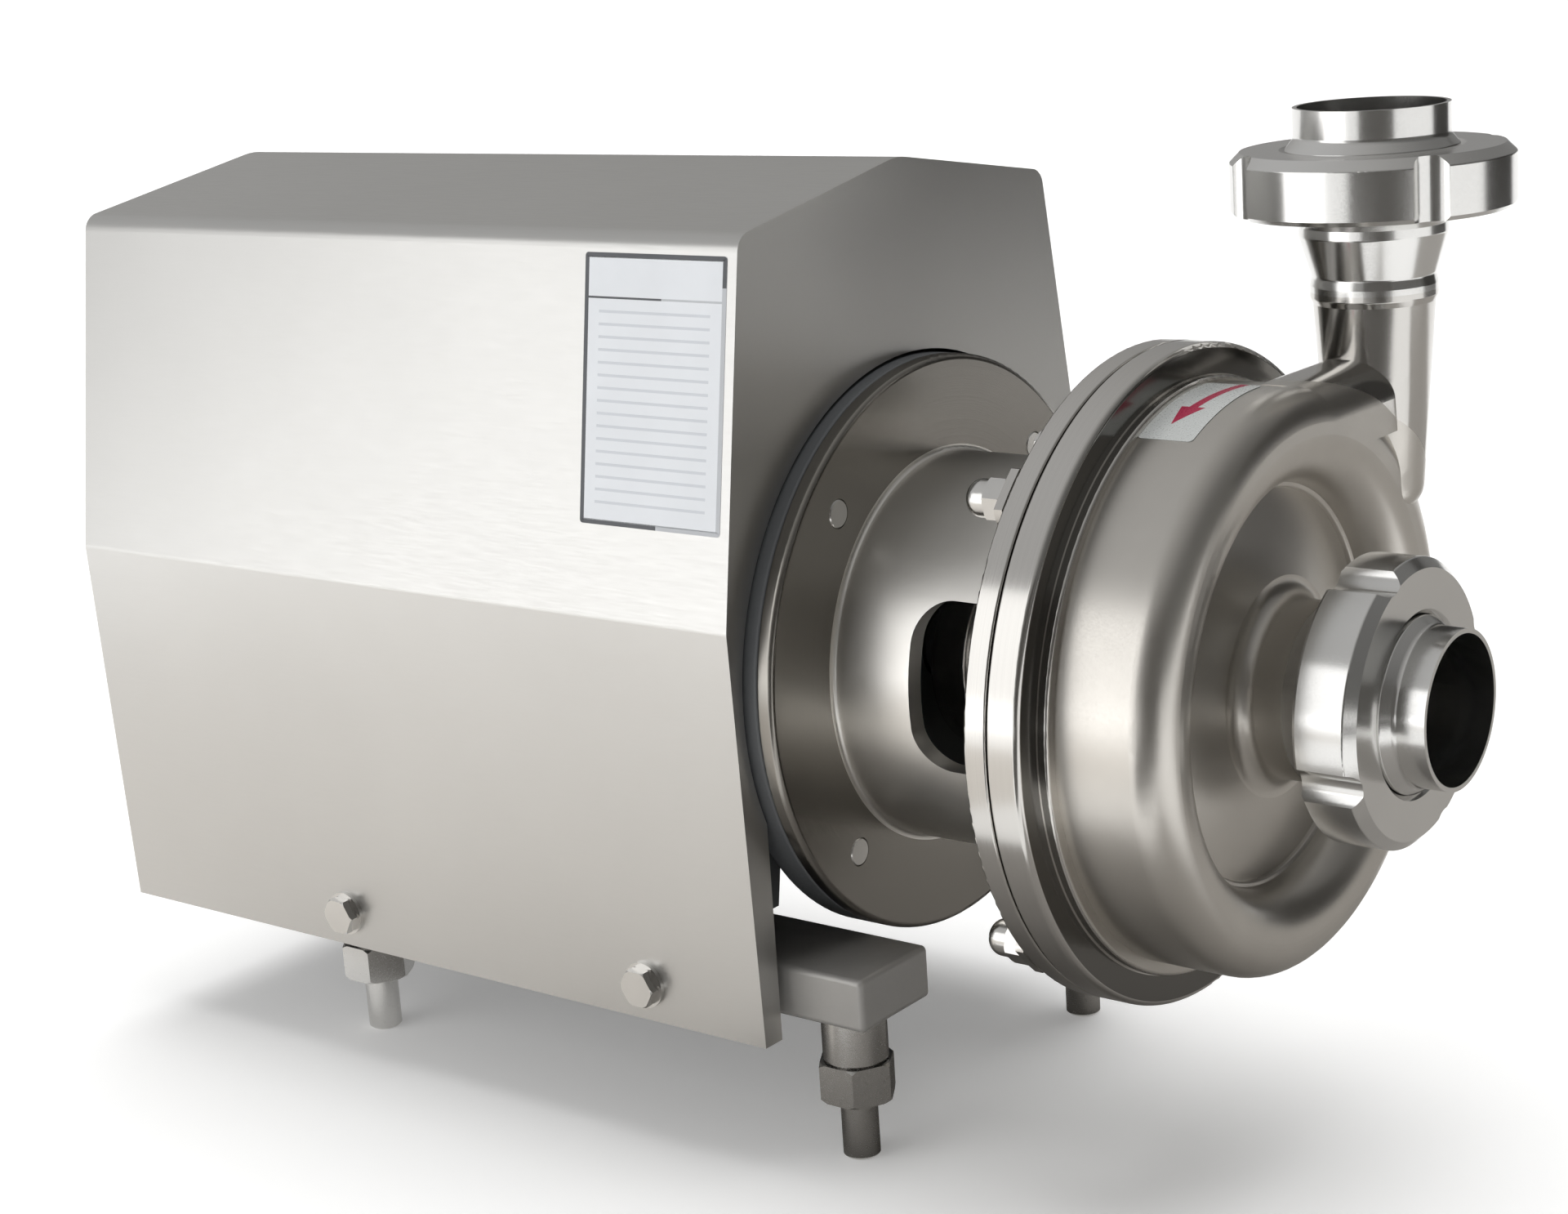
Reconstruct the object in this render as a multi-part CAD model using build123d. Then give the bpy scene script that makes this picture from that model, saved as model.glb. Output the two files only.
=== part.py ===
from build123d import *
from math import atan2, cos, degrees, log, radians, sin, sqrt, tan
import os

# A close-coupled sanitary centrifugal pump: a single-stage pump head on a lantern, a
# foot-mounted IEC 90 flange motor, and a sheet-steel cover over the motor.
# The origin is the centre of the suction port's open end. +X points out of the suction port
# along the shaft, +Z is up, and the discharge pipe stands on the +Y side.

# Clearances
running_gap = 0.06      # radial gap of a shaft or thread that turns or slides in its hole
tap_gap = 0.5           # radial gap of a clearance hole round a fastener
seal_film = 0.05        # gap between the faces of the mechanical seal

# Pipe unions, the same on both ports
liner_diameter = 50.8
liner_wall = 1.5
liner_reach = 13.5      # from the liner's open end to the nut's face
nut_diameter = 92.0
nut_length = 20.5
nut_lip = 7.2           # end wall of the nut, which pulls on the liner's collar
nut_hole = 57.0
nut_chamfer = 3.2
nut_edge = 1.5
notch_count = 4
notch_radius = 7.0
notch_depth = 4.0
suction_notch_angle = 21.0
discharge_notch_angle = 50.0
thread_diameter = 77.8
thread_setback = 0.6
collar_diameter = 68.0
collar_thickness = 5.0
liner_neck = 4.3        # wall of the thick stretch of the liner beside its collar
liner_flare = 3.5       # length of the flare from the tube to the thick stretch
gasket_width = 6.0
gasket_thickness = 4.0
male_cone = 5.0         # length of the cone behind the thread

# Casing
inlet_length = 61.6     # from the liner's end to the foot of the suction neck
neck_diameter = 58.0
neck_round = 6.0
neck_foot = 36.0        # radius at which the dish's floor starts to fall
neck_weld = 15.5        # from the neck's foot to the weld with the male part
eye_radius = 25.6
eye_cone = 4.0          # length of the cone from the suction bore to the eye
dish_radius = 65.2
dish_fall = 5.6         # the dish is this much deeper at its rim than at the neck's foot
dish_draft = 2.5
crest_height = 11.4     # from the neck's foot to the crest of the scroll
crest_inner_round = 16.0
crest_outer_round = 11.0
drum_radius = 95.0
drum_shift_y = 0.8      # centre of the scroll's outer wall, off the shaft axis
drum_shift_z = 1.2
casing_wall = 3.0
bead_width = 1.8        # weld bead round the dish's rim
bead_rise = 1.4
bead_round = 0.8
crest_lap = 0.2         # the scroll's inner round runs this far past its front wall
flange_setback = 29.1   # from the neck's foot back to the flange's front face
flange_thickness = 11.1
flange_radius = 108.6
flange_edge = 2.0
step_radius = 98.0
step_width = 3.6
joint_gap = 0.5         # between the casing flange and the lantern flange
recess_radius = 96.0
recess_depth = 5.0
scroll_start = 85.5     # radius of the scroll's inside just after the cutwater
scroll_end = 92.0       # and at the throat
scroll_round = 8.0
cutwater_angle = 50.0

# Discharge
outlet_x = -63.3
outlet_y = 72.2
pipe_top_radius = 19.9
pipe_taper = 0.071      # the discharge pipe narrows this much per mm towards the scroll
pipe_wall = 2.1
pipe_weld_height = 117.0
weld_bulge = 0.6
weld_width = 4.0
reducer_radius = 20.2
reducer_straight = 5.0  # from the weld up to the reducing cone
reducer_length = 13.5
reducer_top_radius = 24.2
outlet_rise = 41.5      # from the cone's top to the liner's open end
pipe_foot = 42.0        # lower end of the pipe's outside, above the shaft axis
pipe_foot_round = 10.0
web_width = 31.0        # wall between the scroll's top and the pipe's root, at a tangent
web_length = 65.0
web_depth = 24.0
web_round = 13.0

# Back plate and gasket
plate_clearance = 0.2
gasket_section = 1.5
gasket_band = 3.6
plate_web = 5.5
plate_hub_radius = 30.0
plate_hub_length = 23.7
seal_cup_radius = 24.0
seal_cup_depth = 16.2

# Mechanical seal
seat_radius = 20.0
seat_bore = 13.6
seat_length = 10.0
seat_lip = 4.6
oring_section = 2.0
ring_radius = 21.0
ring_length = 6.2
bellows_radius = 17.5
bellows_wall = 1.6
bellows_folds = 2

# Lantern
lantern_length = 88.1   # from its front flange face to the face of its rear disc
lantern_radius = 67.0
lantern_wall = 7.0
lantern_flange_thickness = 7.8
lantern_disc_radius = 100.0
lantern_disc_thickness = 6.0
lantern_round = 1.5
boss_radius = 10.0
boss_height = 3.0
window_front = 14.8     # from the front flange face to the window
window_length = 43.0
window_height = 56.0
window_rise = 5.5
window_round = 14.0

# Studs between casing and lantern
stud_circle = 203.4
stud_count = 4
stud_first_angle = 45.0
stud_diameter = 8.0
stud_engagement = 9.0
cap_nut_flats = 13.0
cap_nut_hex = 6.5
cap_nut_length = 15.0
screw_circle = 201.6
screw_angles = (122.0, 302.0)
screw_diameter = 5.0
screw_flats = 8.0
screw_head = 3.6
screw_engagement = 8.0

# Impeller
impeller_radius = 64.0
impeller_disc = 4.0
impeller_setback = 4.8  # from the back plate to the back of the impeller's disc
vane_clearance = 1.0
vane_count = 6
vane_thickness = 3.6
vane_angle = 30.0       # between the vane and the tangent
vane_inlet_radius = 21.0
hub_radius = 18.0
hub_length = 20.0
hub_seat_radius = 10.0
balance_hole_radius = 3.0
balance_circle = 27.0
key_width = 5.0
key_height = 5.0
key_length = 14.0
key_sink = 3.0
impeller_nut_flats = 24.0
impeller_nut_length = 15.0
impeller_thread = 16.0

# Stub shaft and its clamp on the motor shaft
shaft_radius = 12.5
shoulder_setback = 0.8  # from the back plate's wetted face to the impeller's shoulder
sleeve_radius = 21.0
sleeve_length = 38.0
sleeve_step = 43.5      # from the impeller's shoulder to the sleeve
slot_count = 4
slot_width = 2.5
slot_length = 18.0
clamp_radius = 33.0
clamp_width = 14.0
clamp_slit = 2.5
clamp_screw_diameter = 6.0
clamp_screw_length = 26.0
clamp_inset = 2.0
slinger_radius = 24.0
slinger_width = 5.0
slinger_setback = 33.0

# Motor, IEC 90 L with a 200 mm flange
motor_flange_radius = 100.0
motor_flange_thickness = 12.0
spigot_radius = 65.0
spigot_height = 3.5
bolt_circle = 165.0
bolt_count = 4
bolt_diameter = 10.0
bolt_hole = 12.0
bolt_flats = 16.0
bolt_head = 6.4
bolt_tip = 0.2          # the bolt's end stands this proud of the lantern's disc
motor_shaft_diameter = 24.0
motor_shaft_reach = 50.0
shaft_height = 90.0
foot_hole_setback = 56.0
foot_hole_pitch = 125.0
foot_hole_span = 141.6
frame_radius = 79.0
frame_wall = 9.0
shield_length = 17.6    # from the motor flange back to the frame
shield_lip = 4.0        # lips that centre both shields in the frame
shield_hub_wall = 6.0
shield_step = 6.0       # from the frame's outside in to the front shield's bell
bearing_setback = 2.0   # the bearing seats' floors, inside the shields' outer faces
frame_length = 186.0
fin_count = 36
fin_reach = 8.0
fin_root = 1.0          # fins start this deep in the frame's wall
fin_thickness = 2.4
fin_gap_top = 70.0      # arcs without fins, in degrees, at the terminal box and the feet
fin_gap_bottom = 100.0
foot_web_upper = -40.0
foot_web_lower = -57.5
rear_shield_thickness = 12.0
bearing_outer = 52.0
bearing_bore = 25.0
bearing_width = 15.0
bearing_seat_depth = 16.0
ball_radius = 3.9
ball_count = 9
groove_gap = 0.1
core_length = 110.0
core_setback = 39.0     # from the front end of the frame to the laminations
core_bore = 84.0
air_gap = 0.5
rotor_shaft_radius = 16.0
winding_length = 20.0
winding_gap = 6.0       # from the end turns to the frame
winding_step = 4.0      # from the core's bore out to the end turns
winding_round = 5.0
end_ring_length = 8.0
fan_seat_radius = 10.0
fan_gap = 8.0
fan_tip_gap = 14.0
fan_length = 22.0
fan_blades = 8
fan_blade_thickness = 2.5
fan_disc = 3.0
cowl_rise = 5.0         # cowl's radius over the frame's
cowl_length = 62.0
cowl_sheet = 1.5
cowl_lap = 6.0
cowl_slots = 24
cowl_slot_width = 4.0
box_length = 92.0
box_width = 96.0
box_rise = 4.0          # terminal box's floor above the frame
box_pad_inset = 6.0
box_height = 40.0
box_setback = 46.0      # from the front end of the frame to the terminal box
box_wall = 3.0
box_round = 8.0
lid_height = 12.0
gland_flats = 27.0
gland_length = 26.0
gland_bore = 13.0
wire_hole_radius = 9.0
block_length = 46.0
block_width = 26.0
block_height = 12.0
block_stud_radius = 2.0
block_stud_pitch = 15.0
block_gap = 2.0         # from the wire hole to the terminal block

# Base rails and levelling feet
rail_width = 38.3
rail_height = 18.5
rail_edge = 2.0
rail_overhang = 27.2    # rail's front end ahead of the motor's flange face
foot_inset = 18.7
foot_pitch = 231.7
foot_boss_radius = 11.25
foot_boss_height = 18.1
locknut_flats = 24.0
locknut_height = 14.4
locknut_gap = 0.6
foot_stud_diameter = 12.8
foot_drop = 72.8        # from the top of the rail to the floor
stud_top_inset = 9.5
foot_bolt_diameter = 8.0
foot_bolt_flats = 13.0
foot_bolt_head = 5.3
foot_pad_thickness = 10.0
foot_pad_length = 30.0
foot_pad_inner = 24.8
foot_pad_outer = 17.2

# Cover
cover_setback = 4.7     # front of the cover behind the motor's flange face
cover_length = 319.6
cover_sheet = 1.5
cover_bend = 7.0
ridge_height = 167.7
eave_half_width = 87.1
eave_height = 152.7
fold_half_width = 107.0
fold_height = 28.4
hem_half_width = 102.1
hem_height = -115.4
arch_gap = 1.3
arch_half_width = 93.3
cover_bolt_diameter = 8.0
cover_bolt_flats = 12.5
cover_bolt_head = 5.6
cover_bolt_collar = 8.2
cover_bolt_setback = 50.9
cover_bolt_pitch = 146.7
cover_bolt_height = -102.0
cover_bolt_engagement = 8.0
cover_boss_radius = 6.4
vent_rows = 9
vent_pitch = 15.0
vent_height = 5.0
vent_width = 62.0
vent_offset = 38.0

# Radii that follow the motor's frame
frame_bore = frame_radius - frame_wall
fin_radius = frame_radius + fin_reach
winding_outer = frame_bore - winding_gap
winding_inner = core_bore / 2 + winding_step
cowl_radius = frame_radius + cowl_rise
fan_radius = cowl_radius - fan_tip_gap
box_base = frame_radius + box_rise
bearing_hub = bearing_outer / 2 + shield_hub_wall

# Stations along the shaft, from the suction port's open end back
u_nut = liner_reach
u_collar = u_nut + nut_lip
u_male = u_collar + collar_thickness
u_nut_end = u_nut + nut_length
u_thread_end = u_nut_end - thread_setback
u_cone_end = u_thread_end + male_cone
liner_bore = liner_diameter / 2 - liner_wall

# Heights on the discharge axis, above the shaft axis
reducer_height = pipe_weld_height + reducer_straight
reducer_top_height = reducer_height + reducer_length
outlet_height = reducer_top_height + outlet_rise

x_dish = -inlet_length
x_rim = x_dish - dish_fall
x_neck_weld = x_dish + neck_weld
x_crest = x_dish + crest_height
x_flange_front = x_dish - flange_setback
x_flange_rear = x_flange_front - flange_thickness
x_lantern_front = x_flange_rear - joint_gap
x_lantern_flange = x_lantern_front - lantern_flange_thickness
x_disc_face = x_lantern_front - lantern_length
x_motor = x_disc_face - lantern_disc_thickness
x_shield = x_motor - motor_flange_thickness
x_frame = x_motor - motor_flange_thickness - shield_length
x_frame_end = x_frame - frame_length
x_rear_shield = x_frame_end - rear_shield_thickness
x_front_bearing = x_shield + bearing_setback
x_rear_bearing = x_rear_shield + bearing_setback
x_core = x_frame - core_setback
x_core_end = x_core - core_length
x_fan = x_rear_shield - fan_gap
x_fan_end = x_fan - fan_length
x_box = x_frame - box_setback - box_length / 2
foot_hole_xs = (x_motor - foot_hole_setback, x_motor - foot_hole_setback - foot_hole_pitch)
x_cover = x_motor - cover_setback
x_cover_end = x_cover - cover_length

x_plate_seat = x_flange_rear + recess_depth
x_plate_front = x_lantern_front + plate_web
x_cup_floor = x_plate_front - seal_cup_depth
x_hub_rear = x_lantern_front - plate_hub_length
x_shoulder = x_plate_front + shoulder_setback
x_hub_end = x_shoulder + hub_length
x_vane_front = x_dish - casing_wall - vane_clearance
x_disc_back = x_plate_front + impeller_setback
x_sleeve = x_shoulder - sleeve_step
x_sleeve_end = x_sleeve - sleeve_length
x_shaft_tip = x_motor + motor_shaft_reach

rail_top = -shaft_height
rail_bottom = rail_top - rail_height
rail_front = x_motor + rail_overhang
rail_length = foot_pitch + 2 * foot_inset
rail_centre = foot_hole_span / 2
floor_height = rail_top - foot_drop
foot_xs = (rail_front - foot_inset, rail_front - foot_inset - foot_pitch)


def profile(*corners):
    """Closed outline through (x, r) or (x, r, corner radius) points."""
    face = make_face(Polyline(*[corner[:2] for corner in corners], close=True))
    for x, r, *radius in corners:
        if radius:
            vertex = face.vertices().sort_by_distance((x, r))[0]
            face = fillet(vertex, radius[0])
    return face


def spin(*corners):
    """Turned piece about the shaft axis, from its half section."""
    return revolve(profile(*corners), Axis.X)


def upright(shape):
    """Turns a piece made about the shaft axis to stand on the discharge axis."""
    return Pos(outlet_x, outlet_y, 0) * Rot(0, -90, 0) * shape


def at_outlet(shape):
    """Moves a union piece from the suction port to the discharge port."""
    return Pos(0, 0, outlet_height) * upright(shape)


def rod(radius, start, end):
    """Round bar along the shaft axis."""
    return Pos((start + end) / 2, 0, 0) * Rot(0, 90, 0) * Cylinder(radius, abs(end - start))


def ring_of(shape, count, circle, first=0.0):
    """Copies of a piece, spaced round the shaft axis on a pitch circle."""
    return [
        Rot(first + 360 * i / count, 0, 0) * Pos(0, circle / 2, 0) * shape for i in range(count)
    ]


def hexagon(flats, height):
    """Hexagon prism along +Z from z = 0, with its corners turned off at both ends."""
    corner = flats / sqrt(3)
    bevel = (corner - flats / 2) * 0.6
    prism = extrude(RegularPolygon(flats / 2, 6, major_radius=False), height)
    turned = Pos(0, 0, height / 2) * Cylinder(corner, height)
    return prism & chamfer(turned.edges().filter_by(GeomType.CIRCLE), bevel)


def forward(shape):
    """Turns a piece made along +Z to lie along +X."""
    return Rot(0, 90, 0) * shape


def backward(shape):
    """Turns a piece made along +Z to lie along -X."""
    return Rot(0, -90, 0) * shape


def mirrored(shape):
    """A piece and its mirror image across the shaft's vertical plane."""
    return [shape, mirror(shape, Plane.XZ)]


def group(shapes):
    """Separate solids that share one node."""
    return Compound(children=[solid for shape in shapes for solid in shape.solids()])


# Unions


def union_liner():
    """Weld-end liner: a tube with a thicker neck and the collar that the nut pulls on."""
    tube = liner_diameter / 2
    collar = collar_diameter / 2
    neck = liner_bore + liner_neck
    return spin(
        (0, liner_bore),
        (0, tube),
        (liner_flare - u_nut, tube, 2.5),
        (-u_nut, neck, 0.8),
        (-u_collar, neck),
        (-u_collar, collar, 0.5),
        (-u_male, collar, 0.5),
        (-u_male, liner_bore),
    )


def union_gasket():
    return spin(
        (-u_male, liner_bore),
        (-u_male, liner_bore + gasket_width),
        (-u_male - gasket_thickness, liner_bore + gasket_width),
        (-u_male - gasket_thickness, liner_bore),
    )


def union_nut(first_notch):
    """Round nut with four rounded spanner notches across its rim."""
    rim = nut_diameter / 2
    bore = thread_diameter / 2 + running_gap
    hole = nut_hole / 2
    nut = spin(
        (-u_nut, hole + nut_edge),
        (-u_nut, rim - nut_chamfer),
        (-u_nut - nut_chamfer, rim, 0.8),
        (-u_nut_end + nut_edge, rim),
        (-u_nut_end, rim - nut_edge),
        (-u_nut_end, bore),
        (-u_collar, bore),
        (-u_collar, hole),
        (-u_nut - nut_edge, hole),
    )
    notch = rod(notch_radius, -u_nut + 1, -u_nut_end - 1)
    circle = 2 * (rim + notch_radius - notch_depth)
    return nut - ring_of(notch, notch_count, circle, first_notch)


def male_thread(root):
    """Corners of a male part's outside, from its gasket groove to the cone's small end."""
    thread = thread_diameter / 2
    return [
        (-u_male - gasket_thickness, liner_bore + gasket_width),
        (-u_male, liner_bore + gasket_width),
        (-u_male, thread, 1.0),
        (-u_thread_end, thread, 0.8),
        (-u_cone_end, root),
    ]


def inlet_male_part():
    """Threaded male part, welded to the casing's suction neck."""
    neck = neck_diameter / 2
    return spin(
        (-u_male - gasket_thickness, liner_bore),
        *male_thread(neck),
        (x_neck_weld, neck),
        (x_neck_weld, liner_bore),
    )


def outlet_male_part():
    """Threaded male part with its reducing cone, welded to the discharge pipe."""
    pipe_bore = pipe_top_radius - pipe_wall
    bead = reducer_radius + weld_bulge
    z = outlet_height
    part = spin(
        (-u_male - gasket_thickness, liner_bore),
        *male_thread(reducer_top_radius),
        (reducer_top_height - z, reducer_top_radius, 2.0),
        (reducer_height - z, reducer_radius, 2.0),
        (pipe_weld_height + weld_width / 2 - z, bead, 1.0),
        (pipe_weld_height - z, bead),
        (pipe_weld_height - z, pipe_bore),
        (reducer_height - z, pipe_bore),
    )
    return at_outlet(part)


# Pump casing


def scroll_outline():
    """Inner wall of the scroll: a spiral that grows in the direction of rotation."""
    steps = 12
    points = []
    for i in range(steps):
        share = min(i / (steps - 2), 1.0)
        radius = scroll_start + (scroll_end - scroll_start) * share
        angle = radians(cutwater_angle + 360 * i / steps)
        points.append((radius * cos(angle), radius * sin(angle)))
    return make_face(Spline(*points, periodic=True))


def scroll_space():
    """Space inside the casing: impeller chamber, scroll, eye and discharge bore."""
    x_front = x_crest - casing_wall
    length = x_front - x_flange_rear + 1
    space = extrude(Plane.YZ.offset(x_flange_rear - 1) * scroll_outline(), length)
    space = fillet(space.faces().sort_by(Axis.X)[-1].edges(), scroll_round)
    core_radius = dish_radius + casing_wall
    x_core_front = x_front + crest_lap
    space -= spin(
        (x_dish - casing_wall, 0),
        (x_dish - casing_wall, neck_foot),
        (x_rim - casing_wall, core_radius, 2.0),
        (x_core_front, core_radius + dish_draft, crest_inner_round - casing_wall),
        (x_core_front, drum_radius),
        (x_front + 1, drum_radius),
        (x_front + 1, 0),
    )
    space += spin(
        (x_dish - casing_wall - 1, 0),
        (x_dish - casing_wall - 1, eye_radius),
        (x_neck_weld - eye_cone, eye_radius),
        (x_neck_weld, liner_bore),
        (x_neck_weld + 1, liner_bore),
        (x_neck_weld + 1, 0),
    )
    bore_top = pipe_top_radius - pipe_wall
    bore_foot = pipe_foot + 2 * casing_wall
    foot_radius = bore_top - pipe_taper * (pipe_weld_height - bore_foot)
    bore = spin(
        (bore_foot, 0),
        (bore_foot, foot_radius, pipe_foot_round - pipe_wall),
        (pipe_weld_height, bore_top),
        (pipe_weld_height + 1, bore_top),
        (pipe_weld_height + 1, 0),
    )
    space += upright(bore)
    space += rod(recess_radius, x_flange_rear - 1, x_plate_seat)
    return space


def discharge_pipe():
    """Discharge pipe: a slow cone with a rounded foot, tangential to the scroll."""
    cone_top = pipe_weld_height - weld_width
    bead = reducer_radius + weld_bulge
    foot_radius = pipe_top_radius - pipe_taper * (cone_top - pipe_foot)
    pipe = spin(
        (pipe_foot, 0),
        (pipe_foot, foot_radius, pipe_foot_round),
        (cone_top, pipe_top_radius),
        (pipe_weld_height - weld_width / 2, bead, 1.0),
        (pipe_weld_height, bead),
        (pipe_weld_height, 0),
    )
    return upright(pipe)


def discharge_web():
    """Rounded wall at a tangent, from the scroll's top to the pipe."""
    web = Box(web_width, web_length, web_depth)
    web = fillet(web.edges().filter_by(Axis.Y).sort_by(Axis.Z)[-2:], web_round)
    top = drum_radius + drum_shift_z
    return Pos(x_crest - web_width / 2, outlet_y - web_length / 2, top - web_depth / 2) * web


def pump_casing():
    """Casing shell: scroll, recessed dish, suction neck, discharge pipe and flange."""
    drum = Pos(0, drum_shift_y, drum_shift_z) * spin(
        (x_flange_rear, 0),
        (x_flange_rear, drum_radius),
        (x_crest, drum_radius, crest_outer_round),
        (x_crest, 0),
    )
    rim = drum_radius + crest_outer_round
    dish = spin(
        (x_dish, 0),
        (x_dish, neck_foot),
        (x_rim, dish_radius - bead_width),
        (x_rim + bead_rise, dish_radius - bead_rise, bead_round),
        (x_rim + bead_width, dish_radius),
        (x_crest, dish_radius + dish_draft, crest_inner_round),
        (x_crest, rim),
        (0, rim),
        (0, 0),
    )
    flange = spin(
        (x_flange_rear, 0),
        (x_flange_rear, flange_radius, 0.8),
        (x_flange_front, flange_radius, flange_edge),
        (x_flange_front, step_radius),
        (x_flange_front + step_width, step_radius, 1.2),
        (x_flange_front + step_width, 0),
    )
    neck = spin(
        (x_dish - casing_wall, 0),
        (x_dish - casing_wall, neck_foot),
        (x_dish, neck_foot),
        (x_dish, neck_diameter / 2, neck_round),
        (x_neck_weld, neck_diameter / 2),
        (x_neck_weld, 0),
    )
    body = (drum + discharge_web()) - dish + discharge_pipe() + flange + neck
    body -= scroll_space()
    tap = rod(stud_diameter / 2, x_flange_rear - 1, x_flange_rear + stud_engagement)
    body -= ring_of(tap, stud_count, stud_circle, stud_first_angle)
    small_tap = rod(screw_diameter / 2, x_flange_rear - 1, x_flange_rear + screw_engagement)
    for angle in screw_angles:
        body -= ring_of(small_tap, 1, screw_circle, angle)
    return body


def back_plate():
    """Rear wall of the casing, clamped between the flanges, with the seal's cup in its hub."""
    rim = recess_radius - plate_clearance
    x_rim = x_plate_seat - gasket_section
    web_radius = rim - gasket_band
    return spin(
        (x_plate_front, seal_cup_radius, 1.0),
        (x_plate_front, web_radius),
        (x_rim, web_radius),
        (x_rim, rim, 0.5),
        (x_lantern_front, rim),
        (x_lantern_front, plate_hub_radius, 3.0),
        (x_hub_rear, plate_hub_radius, 2.0),
        (x_hub_rear, seat_bore + 1.4),
        (x_hub_rear + seat_lip, seat_bore + 1.4),
        (x_hub_rear + seat_lip, seat_radius),
        (x_cup_floor, seat_radius),
        (x_cup_floor, seal_cup_radius),
    )


def casing_gasket():
    """Flat gasket ring between the casing's seat and the back plate's rim."""
    rim = recess_radius - plate_clearance
    return spin(
        (x_plate_seat, rim - gasket_band),
        (x_plate_seat, rim),
        (x_plate_seat - gasket_section, rim),
        (x_plate_seat - gasket_section, rim - gasket_band),
    )


# Mechanical seal

x_seat = x_hub_rear + seat_lip
x_seal_face = x_seat + seat_length
x_ring = x_seal_face + seal_film


def seal_seat():
    """Stationary seal ring in the plate's hub, grooved for its O-ring."""
    x_groove = x_seat + seat_length / 2
    groove = oring_section / 2
    return spin(
        (x_seat, seat_bore),
        (x_seat, seat_radius),
        (x_groove - groove, seat_radius),
        (x_groove - groove, seat_radius - oring_section),
        (x_groove + groove, seat_radius - oring_section),
        (x_groove + groove, seat_radius),
        (x_cup_floor, seat_radius),
        (x_seal_face, seat_radius - 1.0),
        (x_seal_face, seat_bore),
    )


def seal_oring():
    centre = (x_seat + seat_length / 2, seat_radius - oring_section / 2)
    return revolve(Pos(*centre) * Circle(oring_section / 2), Axis.X)


def seal_ring():
    """Rotating seal ring on the shaft, with a narrow running face."""
    return spin(
        (x_ring, shaft_radius + running_gap),
        (x_ring, seat_radius - 1.5),
        (x_ring + 1.5, seat_radius - 1.5),
        (x_ring + 1.5, ring_radius, 0.5),
        (x_ring + ring_length, ring_radius, 0.8),
        (x_ring + ring_length, shaft_radius + running_gap),
    )


def seal_bellows():
    """Rubber bellows between the impeller's hub and the rotating ring, which presses them apart."""
    start = x_ring + ring_length
    length = x_shoulder - start
    valley = shaft_radius + running_gap
    outside = [(start, bellows_radius)]
    inside = [(start, valley)]
    for i in range(bellows_folds):
        fold = start + length * (2 * i + 1) / (2 * bellows_folds)
        reach = length / (4 * bellows_folds)
        outside += [(fold, valley + bellows_wall), (fold + reach, bellows_radius)]
    outside.append((x_shoulder, bellows_radius))
    inside.append((x_shoulder, valley))
    return spin(*outside, *reversed(inside))


# Lantern and its fasteners


def lantern():
    """Bell between pump and motor: front flange, windowed tube and rear disc."""
    inner = lantern_radius - lantern_wall
    spigot = spigot_radius + running_gap
    x_spigot = x_motor + spigot_height + joint_gap
    body = spin(
        (x_lantern_front, inner),
        (x_lantern_front, flange_radius, 0.8),
        (x_lantern_flange, flange_radius, 0.8),
        (x_lantern_flange, lantern_radius, lantern_round),
        (x_disc_face, lantern_radius, lantern_round),
        (x_disc_face, lantern_disc_radius, 2.0),
        (x_motor, lantern_disc_radius, 0.8),
        (x_motor, spigot),
        (x_spigot, spigot),
        (x_spigot, inner),
    )
    boss = rod(boss_radius, x_lantern_flange, x_lantern_flange - boss_height)
    bosses = ring_of(boss, stud_count, stud_circle, stud_first_angle)
    body += [each & rod(flange_radius, x_lantern_front, x_disc_face) for each in bosses]
    x_window = x_lantern_front - window_front - window_length / 2
    window = RectangleRounded(window_length, window_height, window_round)
    body -= Pos(x_window, 0, window_rise) * Rot(90, 0, 0) * extrude(
        window, flange_radius, both=True
    )
    hole = rod(stud_diameter / 2 + tap_gap, x_lantern_front + 1, x_lantern_flange - boss_height - 1)
    body -= ring_of(hole, stud_count, stud_circle, stud_first_angle)
    small_hole = rod(screw_diameter / 2 + tap_gap, x_lantern_front + 1, x_lantern_flange - 1)
    for angle in screw_angles:
        body -= ring_of(small_hole, 1, screw_circle, angle)
    tap = rod(bolt_diameter / 2, x_disc_face + 1, x_motor - 1)
    body -= ring_of(tap, bolt_count, bolt_circle, stud_first_angle)
    return body


def casing_studs():
    """Studs screwed into the casing flange from behind."""
    front = x_flange_rear + stud_engagement
    rear = x_lantern_flange - boss_height - cap_nut_hex - 2.0
    stud = chamfer(rod(stud_diameter / 2, front, rear).edges().filter_by(GeomType.CIRCLE), 0.6)
    return group(ring_of(stud, stud_count, stud_circle, stud_first_angle))


def cap_nuts():
    """Domed nuts behind the lantern's flange."""
    dome_radius = cap_nut_flats * 0.47
    dome = cap_nut_length - cap_nut_hex
    nut = hexagon(cap_nut_flats, cap_nut_hex)
    cap = revolve(
        profile((0, 0), (dome_radius, 0), (dome_radius, dome, dome_radius * 0.8), (0, dome)),
        Axis.Y,
    )
    nut += Pos(0, 0, cap_nut_hex) * Rot(90, 0, 0) * cap
    nut -= Pos(0, 0, (cap_nut_hex + 3.0) / 2) * Cylinder(stud_diameter / 2, cap_nut_hex + 3.0)
    nut = Pos(x_lantern_flange - boss_height, 0, 0) * backward(nut)
    return group(ring_of(nut, stud_count, stud_circle, stud_first_angle))


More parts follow.
